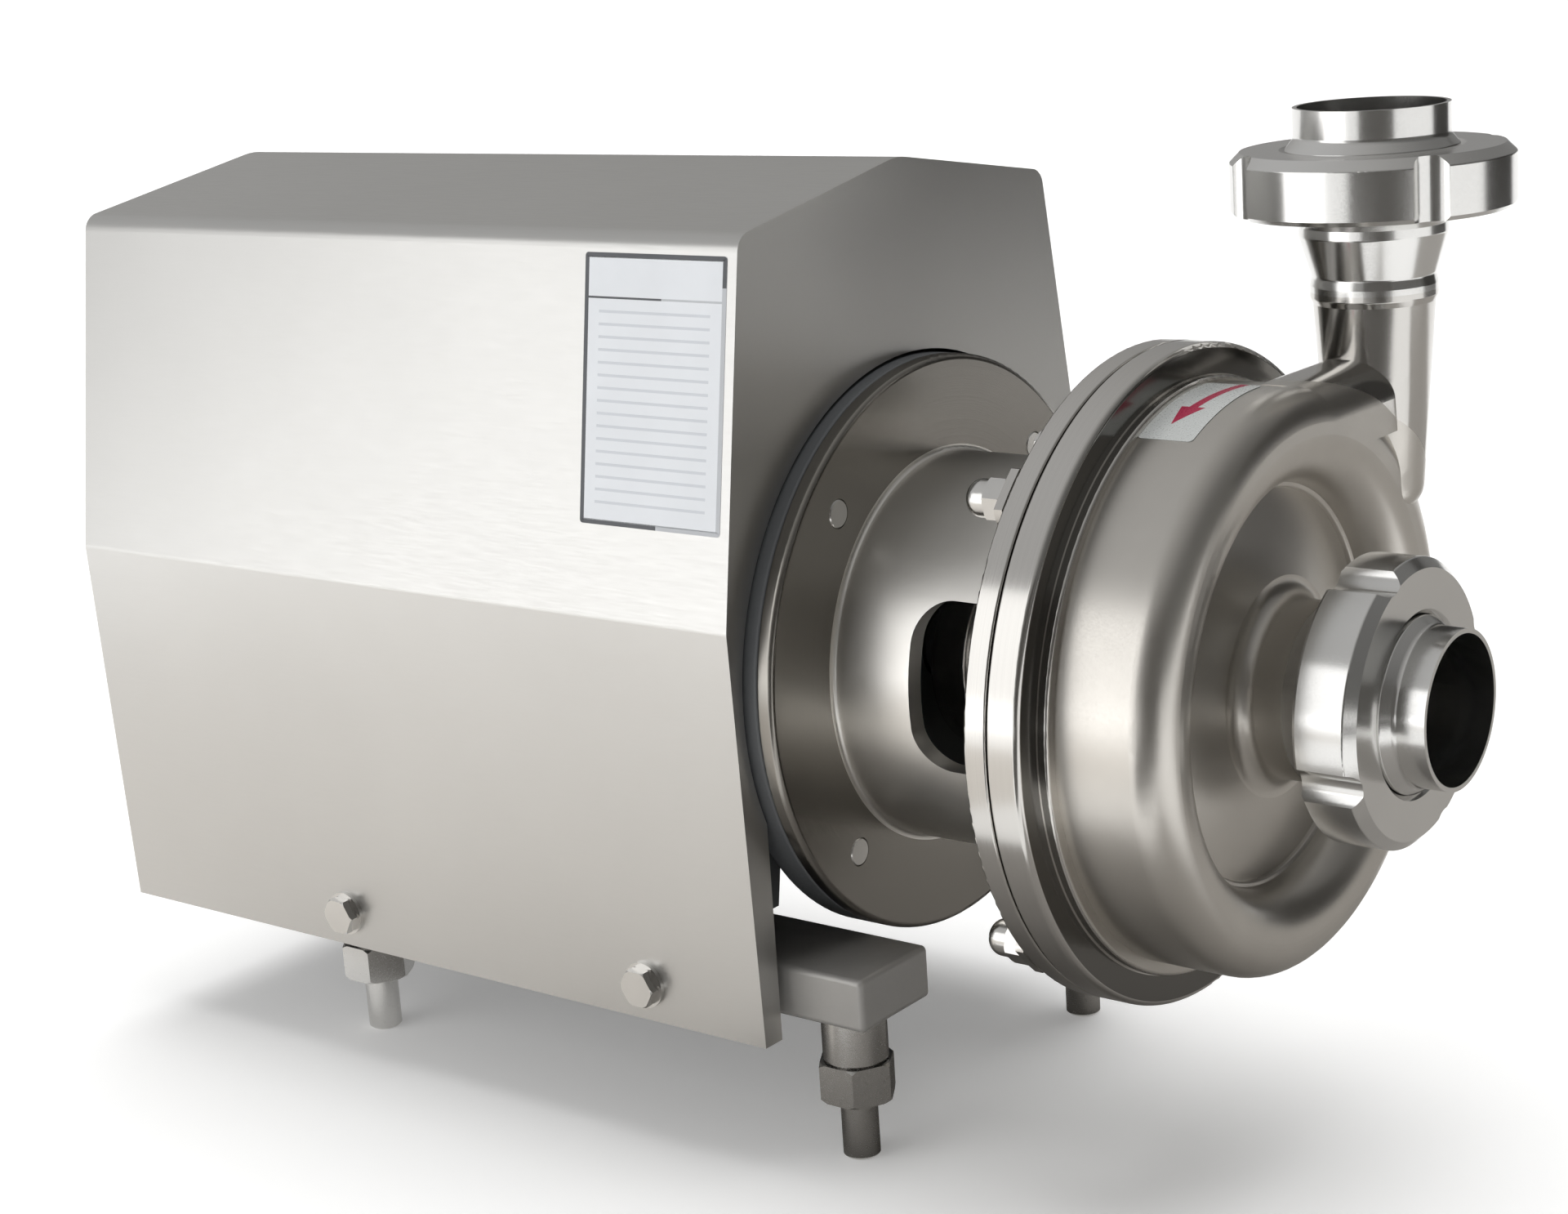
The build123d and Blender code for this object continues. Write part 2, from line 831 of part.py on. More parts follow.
def lantern_screws():
    """Two small hexagon screws that hold the casing on the lantern while the nuts are off."""
    head = Pos(x_lantern_flange, 0, 0) * backward(hexagon(screw_flats, screw_head))
    shank = rod(screw_diameter / 2, x_lantern_flange, x_flange_rear + screw_engagement)
    screw = head + shank
    return group([each for angle in screw_angles for each in ring_of(screw, 1, screw_circle, angle)])


def flange_bolts():
    """Bolts from behind the motor flange into the lantern's disc."""
    head = Pos(x_shield, 0, 0) * backward(hexagon(bolt_flats, bolt_head))
    tip = x_disc_face + bolt_tip
    shank = rod(bolt_diameter / 2, x_shield, tip)
    shank = chamfer(shank.edges().sort_by(Axis.X)[-1], 0.6)
    return group(ring_of(head + shank, bolt_count, bolt_circle, stud_first_angle))


# Impeller and its nut


def vane():
    """One vane in plan: a log spiral that trails the direction of rotation."""
    steps = 5
    inner = vane_inlet_radius
    points = []
    for i in range(steps + 1):
        radius = inner * (impeller_radius * 1.03 / inner) ** (i / steps)
        angle = -log(radius / inner) / tan(radians(vane_angle))
        points.append((radius * cos(angle), radius * sin(angle)))
    return trace(Spline(*points), vane_thickness) & Circle(impeller_radius)


def impeller():
    """Semi-open impeller: back disc, curved vanes, keyed hub and balance holes."""
    x_disc_front = x_disc_back + impeller_disc
    body = spin(
        (x_shoulder, hub_seat_radius),
        (x_shoulder, hub_radius, 1.0),
        (x_disc_back, hub_radius, 1.0),
        (x_disc_back, impeller_radius, 0.5),
        (x_disc_front, impeller_radius, 0.5),
        (x_disc_front, hub_radius + 2.0, 3.0),
        (x_hub_end, hub_radius - 3.0, 1.5),
        (x_hub_end, hub_seat_radius),
    )
    blade = extrude(Plane.YZ.offset(x_disc_front - 0.5) * vane(), x_vane_front - x_disc_front + 0.5)
    blade -= spin(
        (x_vane_front, neck_foot),
        (x_vane_front - dish_fall, dish_radius),
        (x_vane_front + 1, dish_radius),
        (x_vane_front + 1, neck_foot),
    )
    for i in range(vane_count):
        body += Rot(360 * i / vane_count, 0, 0) * blade
    hole = rod(balance_hole_radius, x_disc_back - 1, x_disc_front + 4)
    body -= ring_of(hole, vane_count, 2 * balance_circle, 360 / vane_count / 2)
    return body - impeller_key()


def impeller_key():
    centre = x_shoulder + hub_length / 2
    height = hub_seat_radius - key_sink + key_height / 2
    return Pos(centre, 0, height) * Box(key_length, key_width, key_height)


def impeller_nut():
    """Domed nut on the shaft's end, in the eye of the impeller."""
    hex_length = impeller_nut_length * 0.5
    dome = impeller_nut_length - hex_length
    radius = impeller_nut_flats / 2 - 0.5
    nut = forward(hexagon(impeller_nut_flats, hex_length))
    nut += spin((hex_length, 0), (hex_length, radius), (hex_length + dome, radius, radius * 0.55),
                (hex_length + dome, 0))
    nut -= rod(impeller_thread / 2, 0, hex_length + 2.0)
    return Pos(x_hub_end, 0, 0) * nut


# Stub shaft


def stub_shaft():
    """Pump shaft: threaded end, impeller seat, seal journal and the sleeve over the motor shaft."""
    thread_end = x_hub_end + impeller_nut_length * 0.5 + 2.0
    bore = motor_shaft_diameter / 2
    x_bore = x_shaft_tip + 1.0
    body = spin(
        (thread_end, 0),
        (thread_end, impeller_thread / 2),
        (x_hub_end, impeller_thread / 2),
        (x_hub_end, hub_seat_radius),
        (x_shoulder, hub_seat_radius),
        (x_shoulder, shaft_radius),
        (x_sleeve, shaft_radius, 2.0),
        (x_sleeve, sleeve_radius, 1.5),
        (x_sleeve_end, sleeve_radius, 0.8),
        (x_sleeve_end, bore),
        (x_bore, bore),
        (x_bore, 0),
    )
    body -= impeller_key()
    slot = Box(slot_length, 2 * sleeve_radius, slot_width)
    x_slot = x_sleeve_end + slot_length / 2
    for i in range(slot_count):
        body -= Rot(360 * i / slot_count, 0, 0) * Pos(x_slot, sleeve_radius + bore / 2, 0) * slot
    return body


def clamp_screw_place(shape):
    """Moves the clamp screw across the slit of the collar."""
    x_clamp = x_sleeve_end + clamp_inset + clamp_width / 2
    offset = (sleeve_radius + clamp_radius) / 2
    return Pos(x_clamp, 0, offset) * Rot(90, 0, 0) * shape


def clamp_screw():
    """Socket-head screw that closes the clamp collar."""
    radius = clamp_screw_diameter / 2
    length = clamp_screw_length
    head = Pos(0, 0, -length / 2 - radius) * Cylinder(radius * 1.6, 2 * radius)
    head -= Pos(0, 0, -length / 2 - 2 * radius) * extrude(
        RegularPolygon(radius * 0.8, 6, major_radius=False), radius
    )
    return clamp_screw_place(head + Cylinder(radius, length))


def clamp_ring():
    """Split collar that squeezes the sleeve onto the motor shaft."""
    start = x_sleeve_end + clamp_inset
    body = spin(
        (start, sleeve_radius),
        (start, clamp_radius, 1.0),
        (start + clamp_width, clamp_radius, 1.0),
        (start + clamp_width, sleeve_radius),
    )
    length = clamp_screw_length
    head_room = clamp_screw_diameter * 0.8 + tap_gap
    body -= clamp_screw_place(Cylinder(clamp_screw_diameter / 2, 2 * length))
    body -= clamp_screw_place(Pos(0, 0, -length) * Cylinder(head_room, length))
    slit = Box(2 * clamp_width, clamp_slit, clamp_radius)
    return body - Pos(start + clamp_width / 2, 0, clamp_radius / 2 + sleeve_radius / 2) * slit


def shaft_slinger():
    """Rubber disc on the shaft that throws leakage off before the motor."""
    front = x_shoulder - slinger_setback
    return spin(
        (front, shaft_radius),
        (front, shaft_radius + 4.0),
        (front - slinger_width / 2, slinger_radius, 0.6),
        (front - slinger_width, slinger_radius, 0.6),
        (front - slinger_width, shaft_radius),
    )


# Motor


def front_shield():
    """Motor's flange shield: spigot, bolting flange, bell and bearing seat."""
    shaft_hole = motor_shaft_diameter / 2 + 1.0
    body = spin(
        (x_motor + spigot_height, shaft_hole),
        (x_motor + spigot_height, spigot_radius, 0.8),
        (x_motor, spigot_radius),
        (x_motor, motor_flange_radius, 1.0),
        (x_shield, motor_flange_radius, 1.0),
        (x_shield, bolt_circle / 2 - bolt_flats * 0.65),
        (x_frame, frame_radius - shield_step),
        (x_frame, frame_bore),
        (x_frame - shield_lip, frame_bore),
        (x_frame - shield_lip, frame_bore - shield_lip),
        (x_front_bearing, frame_bore - 4 * shield_lip),
        (x_front_bearing, bearing_hub, 3.0),
        (x_front_bearing - bearing_seat_depth, bearing_hub, 1.0),
        (x_front_bearing - bearing_seat_depth, bearing_outer / 2),
        (x_front_bearing, bearing_outer / 2),
        (x_front_bearing, shaft_hole),
    )
    hole = rod(bolt_hole / 2, x_motor + 1, x_shield - 1)
    return body - ring_of(hole, bolt_count, bolt_circle, stud_first_angle)


def motor_foot(x):
    """One cast foot: a pad on the rail and a web up to the motor's frame."""
    pad_top = rail_top + foot_pad_thickness
    anchor = frame_radius - 1.0
    upper, lower = radians(foot_web_upper), radians(foot_web_lower)
    web = profile(
        (rail_centre - foot_pad_inner, rail_top),
        (rail_centre + foot_pad_outer, rail_top),
        (rail_centre + foot_pad_outer, pad_top, 2.0),
        (rail_centre - 4.0, pad_top + 1.0, 4.0),
        (anchor * cos(upper), anchor * sin(upper)),
        (anchor * cos(lower), anchor * sin(lower)),
    )
    foot = extrude(Plane.YZ.offset(x - foot_pad_length / 2) * web, foot_pad_length)
    hole = Pos(x, rail_centre, rail_top) * Cylinder(
        foot_bolt_diameter / 2 + tap_gap, 3 * foot_pad_thickness
    )
    spot = Pos(x, rail_centre, pad_top + foot_pad_thickness / 2) * Cylinder(
        foot_bolt_flats * 0.75, foot_pad_thickness
    )
    return foot - hole - spot


def motor_frame():
    """Cast stator housing with cooling fins, feet and the pad of the terminal box."""
    body = spin(
        (x_frame, frame_bore),
        (x_frame, frame_radius),
        (x_frame_end, frame_radius),
        (x_frame_end, frame_bore),
    )
    x_middle = (x_frame + x_frame_end) / 2
    fin_height = fin_reach + fin_root
    fin = Box(frame_length, fin_height, fin_thickness)
    for i in range(fin_count):
        angle = 360 * (i + 0.5) / fin_count
        clear_of_box = abs(angle - 90) > fin_gap_top / 2
        clear_of_feet = abs(angle - 270) > fin_gap_bottom / 2
        if clear_of_box and clear_of_feet:
            body += Rot(angle, 0, 0) * Pos(x_middle, fin_radius - fin_height / 2, 0) * fin
    pad_depth = box_rise + frame_wall - fin_root
    pad = Box(box_length - 2 * box_pad_inset, box_width * 0.55, pad_depth)
    body += Pos(x_box, 0, box_base - pad_depth / 2) * pad
    body -= Pos(x_box, 0, frame_radius) * Cylinder(wire_hole_radius, 4 * frame_wall)
    for x in foot_hole_xs:
        body += mirrored(motor_foot(x))
    return body


def rear_shield():
    """Motor's rear shield: web, bearing seat and the rim that carries the fan cowl."""
    rim = cowl_radius - cowl_sheet
    web = x_rear_shield + 5.0
    return spin(
        (x_rear_shield, fan_seat_radius + 1.0),
        (x_rear_shield, rim, 1.0),
        (x_frame_end, rim),
        (x_frame_end, frame_bore),
        (x_frame_end + shield_lip, frame_bore),
        (x_frame_end + shield_lip, frame_bore - shield_lip),
        (web, frame_bore - 2 * shield_lip),
        (web, bearing_hub, 3.0),
        (x_rear_bearing + bearing_seat_depth, bearing_hub, 1.0),
        (x_rear_bearing + bearing_seat_depth, bearing_outer / 2),
        (x_rear_bearing, bearing_outer / 2),
        (x_rear_bearing, fan_seat_radius + 1.0),
    )


bearing_pitch = (bearing_outer + bearing_bore) / 4
bearing_middles = (x_front_bearing - bearing_width / 2, x_rear_bearing + bearing_width / 2)


def bearing_rings(inner, outer):
    """Both motor bearings' rings of one size, with the ball groove cut in."""
    rings = []
    for x in bearing_middles:
        front, rear = x + bearing_width / 2, x - bearing_width / 2
        ring = spin((front, inner), (front, outer), (rear, outer), (rear, inner))
        groove = revolve(Pos(x, bearing_pitch) * Circle(ball_radius + groove_gap), Axis.X)
        rings.append(ring - groove)
    return group(rings)


def bearing_outer_rings():
    return bearing_rings(bearing_pitch + ball_radius * 0.67, bearing_outer / 2)


def bearing_inner_rings():
    return bearing_rings(bearing_bore / 2, bearing_pitch - ball_radius * 0.67)


def bearing_balls():
    balls = []
    for x in bearing_middles:
        balls += ring_of(Pos(x, 0, 0) * Sphere(ball_radius), ball_count, 2 * bearing_pitch)
    return group(balls)


def motor_shaft():
    """Motor shaft with its bearing seats, core seat and fan seat."""
    tip = motor_shaft_diameter / 2
    seat = bearing_bore / 2
    return spin(
        (x_shaft_tip, 0),
        (x_shaft_tip, tip, 0.8),
        (x_front_bearing, tip),
        (x_front_bearing, seat),
        (x_front_bearing - bearing_width, seat),
        (x_front_bearing - bearing_width, rotor_shaft_radius),
        (x_rear_bearing + bearing_width, rotor_shaft_radius),
        (x_rear_bearing + bearing_width, seat),
        (x_rear_bearing, seat),
        (x_rear_bearing, fan_seat_radius),
        (x_fan_end, fan_seat_radius),
        (x_fan_end, 0),
    )


def rotor_core():
    """Laminated core with its cast end rings."""
    outer = core_bore / 2 - air_gap
    body = spin(
        (x_core, rotor_shaft_radius), (x_core, outer), (x_core_end, outer),
        (x_core_end, rotor_shaft_radius)
    )
    for start, end in ((x_core, x_core + end_ring_length), (x_core_end, x_core_end - end_ring_length)):
        body += spin((start, outer * 0.6), (start, outer - 2.0), (end, outer - 3.0), (end, outer * 0.6))
    return body


def stator_core():
    bore = core_bore / 2
    return spin(
        (x_core, bore), (x_core, frame_bore), (x_core_end, frame_bore), (x_core_end, bore)
    )


def stator_windings():
    """The two bundles of end turns, one at each end of the stator's laminations."""
    turns = []
    for start, end in ((x_core, x_core + winding_length), (x_core_end, x_core_end - winding_length)):
        turns.append(
            spin(
                (start, winding_inner),
                (start, winding_outer),
                (end, winding_outer, winding_round),
                (end, winding_inner, winding_round),
            )
        )
    return group(turns)


def cooling_fan():
    """Radial fan on the motor shaft's rear end."""
    body = spin(
        (x_fan, fan_seat_radius),
        (x_fan, fan_radius),
        (x_fan - fan_disc, fan_radius),
        (x_fan - fan_disc, fan_seat_radius + 8.0, 3.0),
        (x_fan_end, fan_seat_radius + 4.0),
        (x_fan_end, fan_seat_radius),
    )
    inner = fan_seat_radius + 4.0
    depth = fan_length - fan_disc - 2.0
    height = fan_radius - inner
    blade = Box(depth, height, fan_blade_thickness)
    for i in range(fan_blades):
        place = Pos(x_fan - fan_disc - depth / 2 + 0.5, inner + height / 2, 0)
        body += Rot(360 * i / fan_blades, 0, 0) * place * blade
    return body


def fan_cowl():
    """Pressed cowl over the fan, with radial air slots in its end."""
    front = x_rear_shield + cowl_lap
    rear = front - cowl_length
    bore = cowl_radius - cowl_sheet
    body = spin(
        (front, bore),
        (front, cowl_radius),
        (rear, cowl_radius, 6.0),
        (rear, 0),
        (rear + cowl_sheet, 0),
        (rear + cowl_sheet, bore, 6.0 - cowl_sheet),
    )
    slot_inner, slot_outer = cowl_radius * 0.3, cowl_radius * 0.8
    slot = Box(6 * cowl_sheet, slot_outer - slot_inner, cowl_slot_width)
    for i in range(cowl_slots):
        place = Pos(rear, (slot_inner + slot_outer) / 2, 0)
        body -= Rot(360 * i / cowl_slots, 0, 0) * place * slot
    return body


def rounded_block(width, height):
    """Block with the terminal box's plan and rounded upright edges, from z = 0."""
    return extrude(RectangleRounded(box_length - 2 * width, box_width - 2 * width,
                                    box_round - width), height)


def terminal_box():
    body = rounded_block(0, box_height) - Pos(0, 0, box_wall) * rounded_block(box_wall, box_height)
    body -= Cylinder(wire_hole_radius, 4 * box_wall)
    entry = Pos(0, box_width / 2, box_height / 2) * Rot(90, 0, 0)
    body -= entry * Cylinder(gland_bore / 2 + 2.0, 4 * box_wall)
    return Pos(x_box, 0, box_base) * body


def terminal_box_lid():
    top = chamfer(rounded_block(0, lid_height).faces().sort_by(Axis.Z)[-1].edges(), 1.5)
    lid = top - rounded_block(box_wall, lid_height - box_wall)
    return Pos(x_box, 0, box_base + box_height) * lid


def terminal_block():
    """Moulded block with six terminal studs, on the floor of the terminal box."""
    height = block_height
    body = Pos(0, 0, height / 2) * Box(block_length, block_width, height)
    stud = Pos(0, 0, height) * Cylinder(block_stud_radius, height)
    for i in (-1, 0, 1):
        for side in (-1, 1):
            body += Pos(i * block_stud_pitch, side * block_stud_pitch / 2, 0) * stud
    shift = wire_hole_radius + block_width / 2 + block_gap
    return Pos(x_box, -shift, box_base + box_wall) * body


def cable_gland():
    """Cable gland in the far side of the terminal box, with its clamping cap."""
    nut = hexagon(gland_flats, gland_length * 0.3)
    radius = gland_flats * 0.44
    cap = Pos(0, 0, gland_length * 0.65) * Cylinder(radius, gland_length * 0.7)
    cap = fillet(cap.edges().filter_by(GeomType.CIRCLE).sort_by(Axis.Z)[-1], 4.0)
    thread = Pos(0, 0, -box_wall / 2) * Cylinder(gland_bore / 2 + 2.0, box_wall)
    gland = nut + cap + thread - Cylinder(gland_bore / 2, 4 * gland_length)
    return Pos(x_box, box_width / 2, box_base + box_height / 2) * Rot(-90, 0, 0) * gland


# Base


def at_foot_bolts(shape):
    """Copies of a piece at the motor's four foot holes, on top of the rails."""
    copies = []
    for x in foot_hole_xs:
        copies += mirrored(Pos(x, rail_centre, rail_top) * shape)
    return copies


def rail():
    """Base rail on the near side, tapped for the motor's feet and bored for the levelling feet."""
    bar = Box(rail_length, rail_width, rail_height)
    bar = fillet(bar.edges(), rail_edge)
    bar = Pos(rail_front - rail_length / 2, -rail_centre, rail_top - rail_height / 2) * bar
    hole_top = rail_top - stud_top_inset + 1.0
    depth = hole_top - rail_bottom
    for x in foot_xs:
        bore = Cylinder(foot_stud_diameter / 2 + tap_gap, 2 * depth)
        bar -= Pos(x, -rail_centre, rail_bottom) * bore
    tap = Cylinder(foot_bolt_diameter / 2, 4 * rail_height)
    return bar - at_foot_bolts(tap)


def motor_foot_bolts():
    pad = foot_pad_thickness
    length = pad + rail_height - 2.0
    bolt = Pos(0, 0, pad) * hexagon(foot_bolt_flats, foot_bolt_head)
    bolt += Pos(0, 0, pad - length / 2) * Cylinder(foot_bolt_diameter / 2, length)
    return group(at_foot_bolts(bolt))


def at_feet(shape):
    """Copies of a piece at the four levelling feet, from the underside of the rails."""
    copies = []
    for x in foot_xs:
        copies += mirrored(Pos(x, -rail_centre, rail_bottom) * shape)
    return copies


def foot_bosses():
    """Threaded bosses welded under the rails."""
    height = foot_boss_height
    boss = Pos(0, 0, -height / 2) * Cylinder(foot_boss_radius, height)
    boss -= Cylinder(foot_stud_diameter / 2 + running_gap, 4 * height)
    return group(at_feet(boss))


def foot_locknuts():
    """Nuts that lock the levelling studs against their bosses."""
    height = locknut_height - locknut_gap
    nut = Pos(0, 0, -locknut_height) * hexagon(locknut_flats, height)
    nut += Pos(0, 0, -locknut_gap) * Cylinder(locknut_flats * 0.38, 2 * locknut_gap)
    nut -= Cylinder(foot_stud_diameter / 2 + running_gap, 4 * locknut_height)
    nut &= Pos(0, 0, -locknut_height) * Cylinder(locknut_flats, 2 * locknut_height)
    return group(at_feet(Pos(0, 0, -foot_boss_height) * nut))


def foot_stud(x, side):
    """Levelling stud, from inside the rail down to the floor."""
    top = rail_top - stud_top_inset
    length = top - floor_height
    stud = Pos(0, 0, -length / 2) * Cylinder(foot_stud_diameter / 2, length)
    stud = chamfer(stud.edges().filter_by(GeomType.CIRCLE), 0.8)
    return Pos(x, side * rail_centre, top) * stud


# Cover

hem_slope = (fold_half_width - hem_half_width) / (fold_height - hem_height)
hem_lean = degrees(atan2(fold_half_width - hem_half_width, fold_height - hem_height))


def cover_outline(drop):
    """End view of the cover: leaning sides, a fold at half height and a shallow gable roof."""
    hem = hem_half_width - hem_slope * drop
    bend = cover_bend
    return profile(
        (-hem, hem_height - drop),
        (hem, hem_height - drop),
        (fold_half_width, fold_height, bend),
        (eave_half_width, eave_height, bend),
        (0, ridge_height, 4 * bend),
        (-eave_half_width, eave_height, bend),
        (-fold_half_width, fold_height, bend),
    )


def cover_layer(face, start, end):
    """Sheet or space between two stations along the shaft, with the given end view."""
    return extrude(Plane.YZ.offset(end) * face, start - end)


def at_cover_bolts(shape):
    """Copies of a piece at the cover's four bolts, with +Z along the panel's outward normal."""
    y = -(hem_half_width + (cover_bolt_height - hem_height) * hem_slope)
    copies = []
    for x in (x_cover - cover_bolt_setback, x_cover - cover_bolt_setback - cover_bolt_pitch):
        place = Pos(x, y, cover_bolt_height) * Rot(90 + hem_lean, 0, 0)
        copies += mirrored(place * shape)
    return copies


def cover_shell():
    """Folded sheet over the motor, open at the bottom."""
    sheet = cover_sheet
    space = offset(cover_outline(4 * cover_bend), -sheet)
    body = cover_layer(cover_outline(0), x_cover - sheet, x_cover_end + sheet)
    body -= cover_layer(space, x_cover, x_cover_end)
    hole = Cylinder(cover_bolt_diameter / 2 + tap_gap, 6 * sheet)
    return body - at_cover_bolts(hole)


def cover_front():
    """Front plate of the cover, arched over the motor flange and open below it."""
    arch = motor_flange_radius + arch_gap
    join = -sqrt(arch**2 - arch_half_width**2)
    depth = join - hem_height + 1
    face = cover_outline(0) - Circle(arch)
    face -= Pos(0, join - depth / 2) * Rectangle(2 * arch_half_width, depth)
    return cover_layer(face, x_cover, x_cover - cover_sheet)


def cover_rear():
    """Rear plate of the cover, with rows of air slots behind the fan."""
    face = cover_outline(0)
    slot = SlotOverall(vent_width, vent_height)
    for row in range(vent_rows):
        z = vent_pitch * (row - (vent_rows - 1) / 2)
        for side in (-1, 1):
            face -= Pos(side * vent_offset, z) * slot
    return cover_layer(face, x_cover_end + cover_sheet, x_cover_end)


def cover_bosses():
    """Threaded bosses from the rails' outer sides out to the cover's panels."""
    rail_side = rail_centre + rail_width / 2
    reach = hem_half_width - rail_side + 4.0
    boss = Pos(0, 0, -cover_sheet - reach / 2) * Cylinder(cover_boss_radius, reach)
    tap = Cylinder(cover_bolt_diameter / 2, 2 * (cover_sheet + cover_bolt_engagement + 1.0))
    core = Box(4 * cover_length, 2 * rail_side, 4 * ridge_height)
    return group([each - core for each in at_cover_bolts(boss - tap)])


def cover_bolts():
    """Collared hexagon bolts that hold the cover to its bosses."""
    collar = 1.6
    length = cover_sheet + cover_bolt_engagement
    head = Pos(0, 0, collar) * hexagon(cover_bolt_flats, cover_bolt_head - collar)
    bolt = head + Pos(0, 0, collar / 2) * Cylinder(cover_bolt_collar, collar)
    bolt += Pos(0, 0, -length / 2) * Cylinder(cover_bolt_diameter / 2, length)
    return group(at_cover_bolts(bolt))


nodes = {
    "pump_casing": pump_casing(),
    "inlet_male_part": inlet_male_part(),
    "outlet_male_part": outlet_male_part(),
    "inlet_gasket": union_gasket(),
    "outlet_gasket": at_outlet(union_gasket()),
    "inlet_liner": union_liner(),
    "outlet_liner": at_outlet(union_liner()),
    "inlet_nut": union_nut(suction_notch_angle),
    "outlet_nut": at_outlet(union_nut(discharge_notch_angle)),
    "back_plate": back_plate(),
    "casing_gasket": casing_gasket(),
    "seal_seat": seal_seat(),
    "seal_oring": seal_oring(),
    "seal_ring": seal_ring(),
    "seal_bellows": seal_bellows(),
    "lantern": lantern(),
    "casing_studs": casing_studs(),
    "cap_nuts": cap_nuts(),
    "lantern_screws": lantern_screws(),
    "flange_bolts": flange_bolts(),
    "impeller": impeller(),
    "impeller_key": impeller_key(),
    "impeller_nut": impeller_nut(),
    "stub_shaft": stub_shaft(),
    "clamp_ring": clamp_ring(),
    "clamp_screw": clamp_screw(),
    "shaft_slinger": shaft_slinger(),
    "motor_front_shield": front_shield(),
    "motor_frame": motor_frame(),
    "motor_rear_shield": rear_shield(),
    "bearing_outer_rings": bearing_outer_rings(),
    "bearing_inner_rings": bearing_inner_rings(),
    "bearing_balls": bearing_balls(),
    "motor_shaft": motor_shaft(),
    "rotor_core": rotor_core(),
    "stator_core": stator_core(),
    "stator_windings": stator_windings(),
    "cooling_fan": cooling_fan(),
    "fan_cowl": fan_cowl(),
    "terminal_box": terminal_box(),
    "terminal_box_lid": terminal_box_lid(),
    "terminal_block": terminal_block(),
    "cable_gland": cable_gland(),
    "rail_near": rail(),
    "rail_far": mirror(rail(), Plane.XZ),
    "motor_foot_bolts": motor_foot_bolts(),
    "foot_bosses": foot_bosses(),
    "foot_locknuts": foot_locknuts(),
    "foot_stud_front_near": foot_stud(foot_xs[0], -1),
    "foot_stud_front_far": foot_stud(foot_xs[0], 1),
    "foot_stud_rear_near": foot_stud(foot_xs[1], -1),
    "foot_stud_rear_far": foot_stud(foot_xs[1], 1),
    "cover_shell": cover_shell(),
    "cover_front": cover_front(),
    "cover_rear": cover_rear(),
    "cover_bosses": cover_bosses(),
    "cover_bolts": cover_bolts(),
}

os.makedirs("parts", exist_ok=True)
for name, node in nodes.items():
    export_step(node, f"parts/{name}.step")
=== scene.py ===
from math import cos, pi, radians, sin

import bmesh
import bpy
from mathutils import Matrix, Vector


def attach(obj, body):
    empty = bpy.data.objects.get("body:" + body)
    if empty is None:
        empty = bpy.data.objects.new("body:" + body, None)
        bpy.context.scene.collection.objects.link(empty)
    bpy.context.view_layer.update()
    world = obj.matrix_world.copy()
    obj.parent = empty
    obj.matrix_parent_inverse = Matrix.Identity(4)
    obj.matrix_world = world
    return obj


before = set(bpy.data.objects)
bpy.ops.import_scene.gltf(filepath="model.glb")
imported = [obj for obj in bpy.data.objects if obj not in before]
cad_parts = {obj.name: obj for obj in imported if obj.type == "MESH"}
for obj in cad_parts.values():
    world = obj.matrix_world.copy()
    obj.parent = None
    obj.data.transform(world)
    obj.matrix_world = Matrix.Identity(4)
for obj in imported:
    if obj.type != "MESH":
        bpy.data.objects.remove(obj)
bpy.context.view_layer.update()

# The camera, where the photograph was taken from: a long lens on the pump's near side, towards
# the suction port and a little above it. Its place and angles were solved from the photograph's
# straight edges and circles.
photo_width = 1920
focal_pixels = 3490.0
camera_place = (0.36428, -0.77817, 0.26105)
turn, climb, roll = 0.67838, 0.25076, -0.06857
back = Vector((sin(turn) * cos(climb), -cos(turn) * cos(climb), sin(climb)))
right = Vector((cos(turn), sin(turn), 0))
up = back.cross(right)
rolled_right = cos(roll) * right + sin(roll) * up
rolled_up = cos(roll) * up - sin(roll) * right
camera = bpy.data.objects.new("camera", bpy.data.cameras.new("camera"))
bpy.context.scene.collection.objects.link(camera)
camera.data.sensor_width = 36.0
camera.data.lens = focal_pixels / photo_width * camera.data.sensor_width
camera.data.clip_start = 0.02
camera.matrix_world = Matrix.Translation(camera_place) @ Matrix(
    (rolled_right, rolled_up, back)
).transposed().to_4x4()
bpy.context.scene.camera = camera
bpy.context.scene.view_settings.view_transform = "Standard"


# The studio floor: pale matt paper under the whole set. It glows a little where the camera or a
# reflection sees it, because the photograph's background was cut out to white.
def node_material(name):
    """A new material with its nodes, its links and its shader."""
    material = bpy.data.materials.new(name)
    material.use_nodes = True
    nodes = material.node_tree.nodes
    return material, nodes, material.node_tree.links, nodes["Principled BSDF"]


floor_height = -0.1628
floor_glow = 0.22
bpy.ops.object.select_all(action="DESELECT")
bpy.ops.mesh.primitive_plane_add(size=60, location=(0, 0, floor_height))
floor = bpy.context.object
floor.name = "floor"
paper, nodes, links, shader = node_material("floor_paper")
shader.inputs["Roughness"].default_value = 0.9
shader.inputs["Specular IOR Level"].default_value = 0.1
cloud = nodes.new("ShaderNodeTexNoise")
cloud.inputs["Scale"].default_value = 0.6
tint = nodes.new("ShaderNodeValToRGB")
tint.color_ramp.elements[0].color = (0.92, 0.92, 0.92, 1)
tint.color_ramp.elements[1].color = (0.94, 0.94, 0.935, 1)
place = nodes.new("ShaderNodeTexCoord")
links.new(place.outputs["Object"], cloud.inputs["Vector"])
links.new(cloud.outputs["Fac"], tint.inputs["Fac"])
links.new(tint.outputs["Color"], shader.inputs["Base Color"])
links.new(tint.outputs["Color"], shader.inputs["Emission Color"])
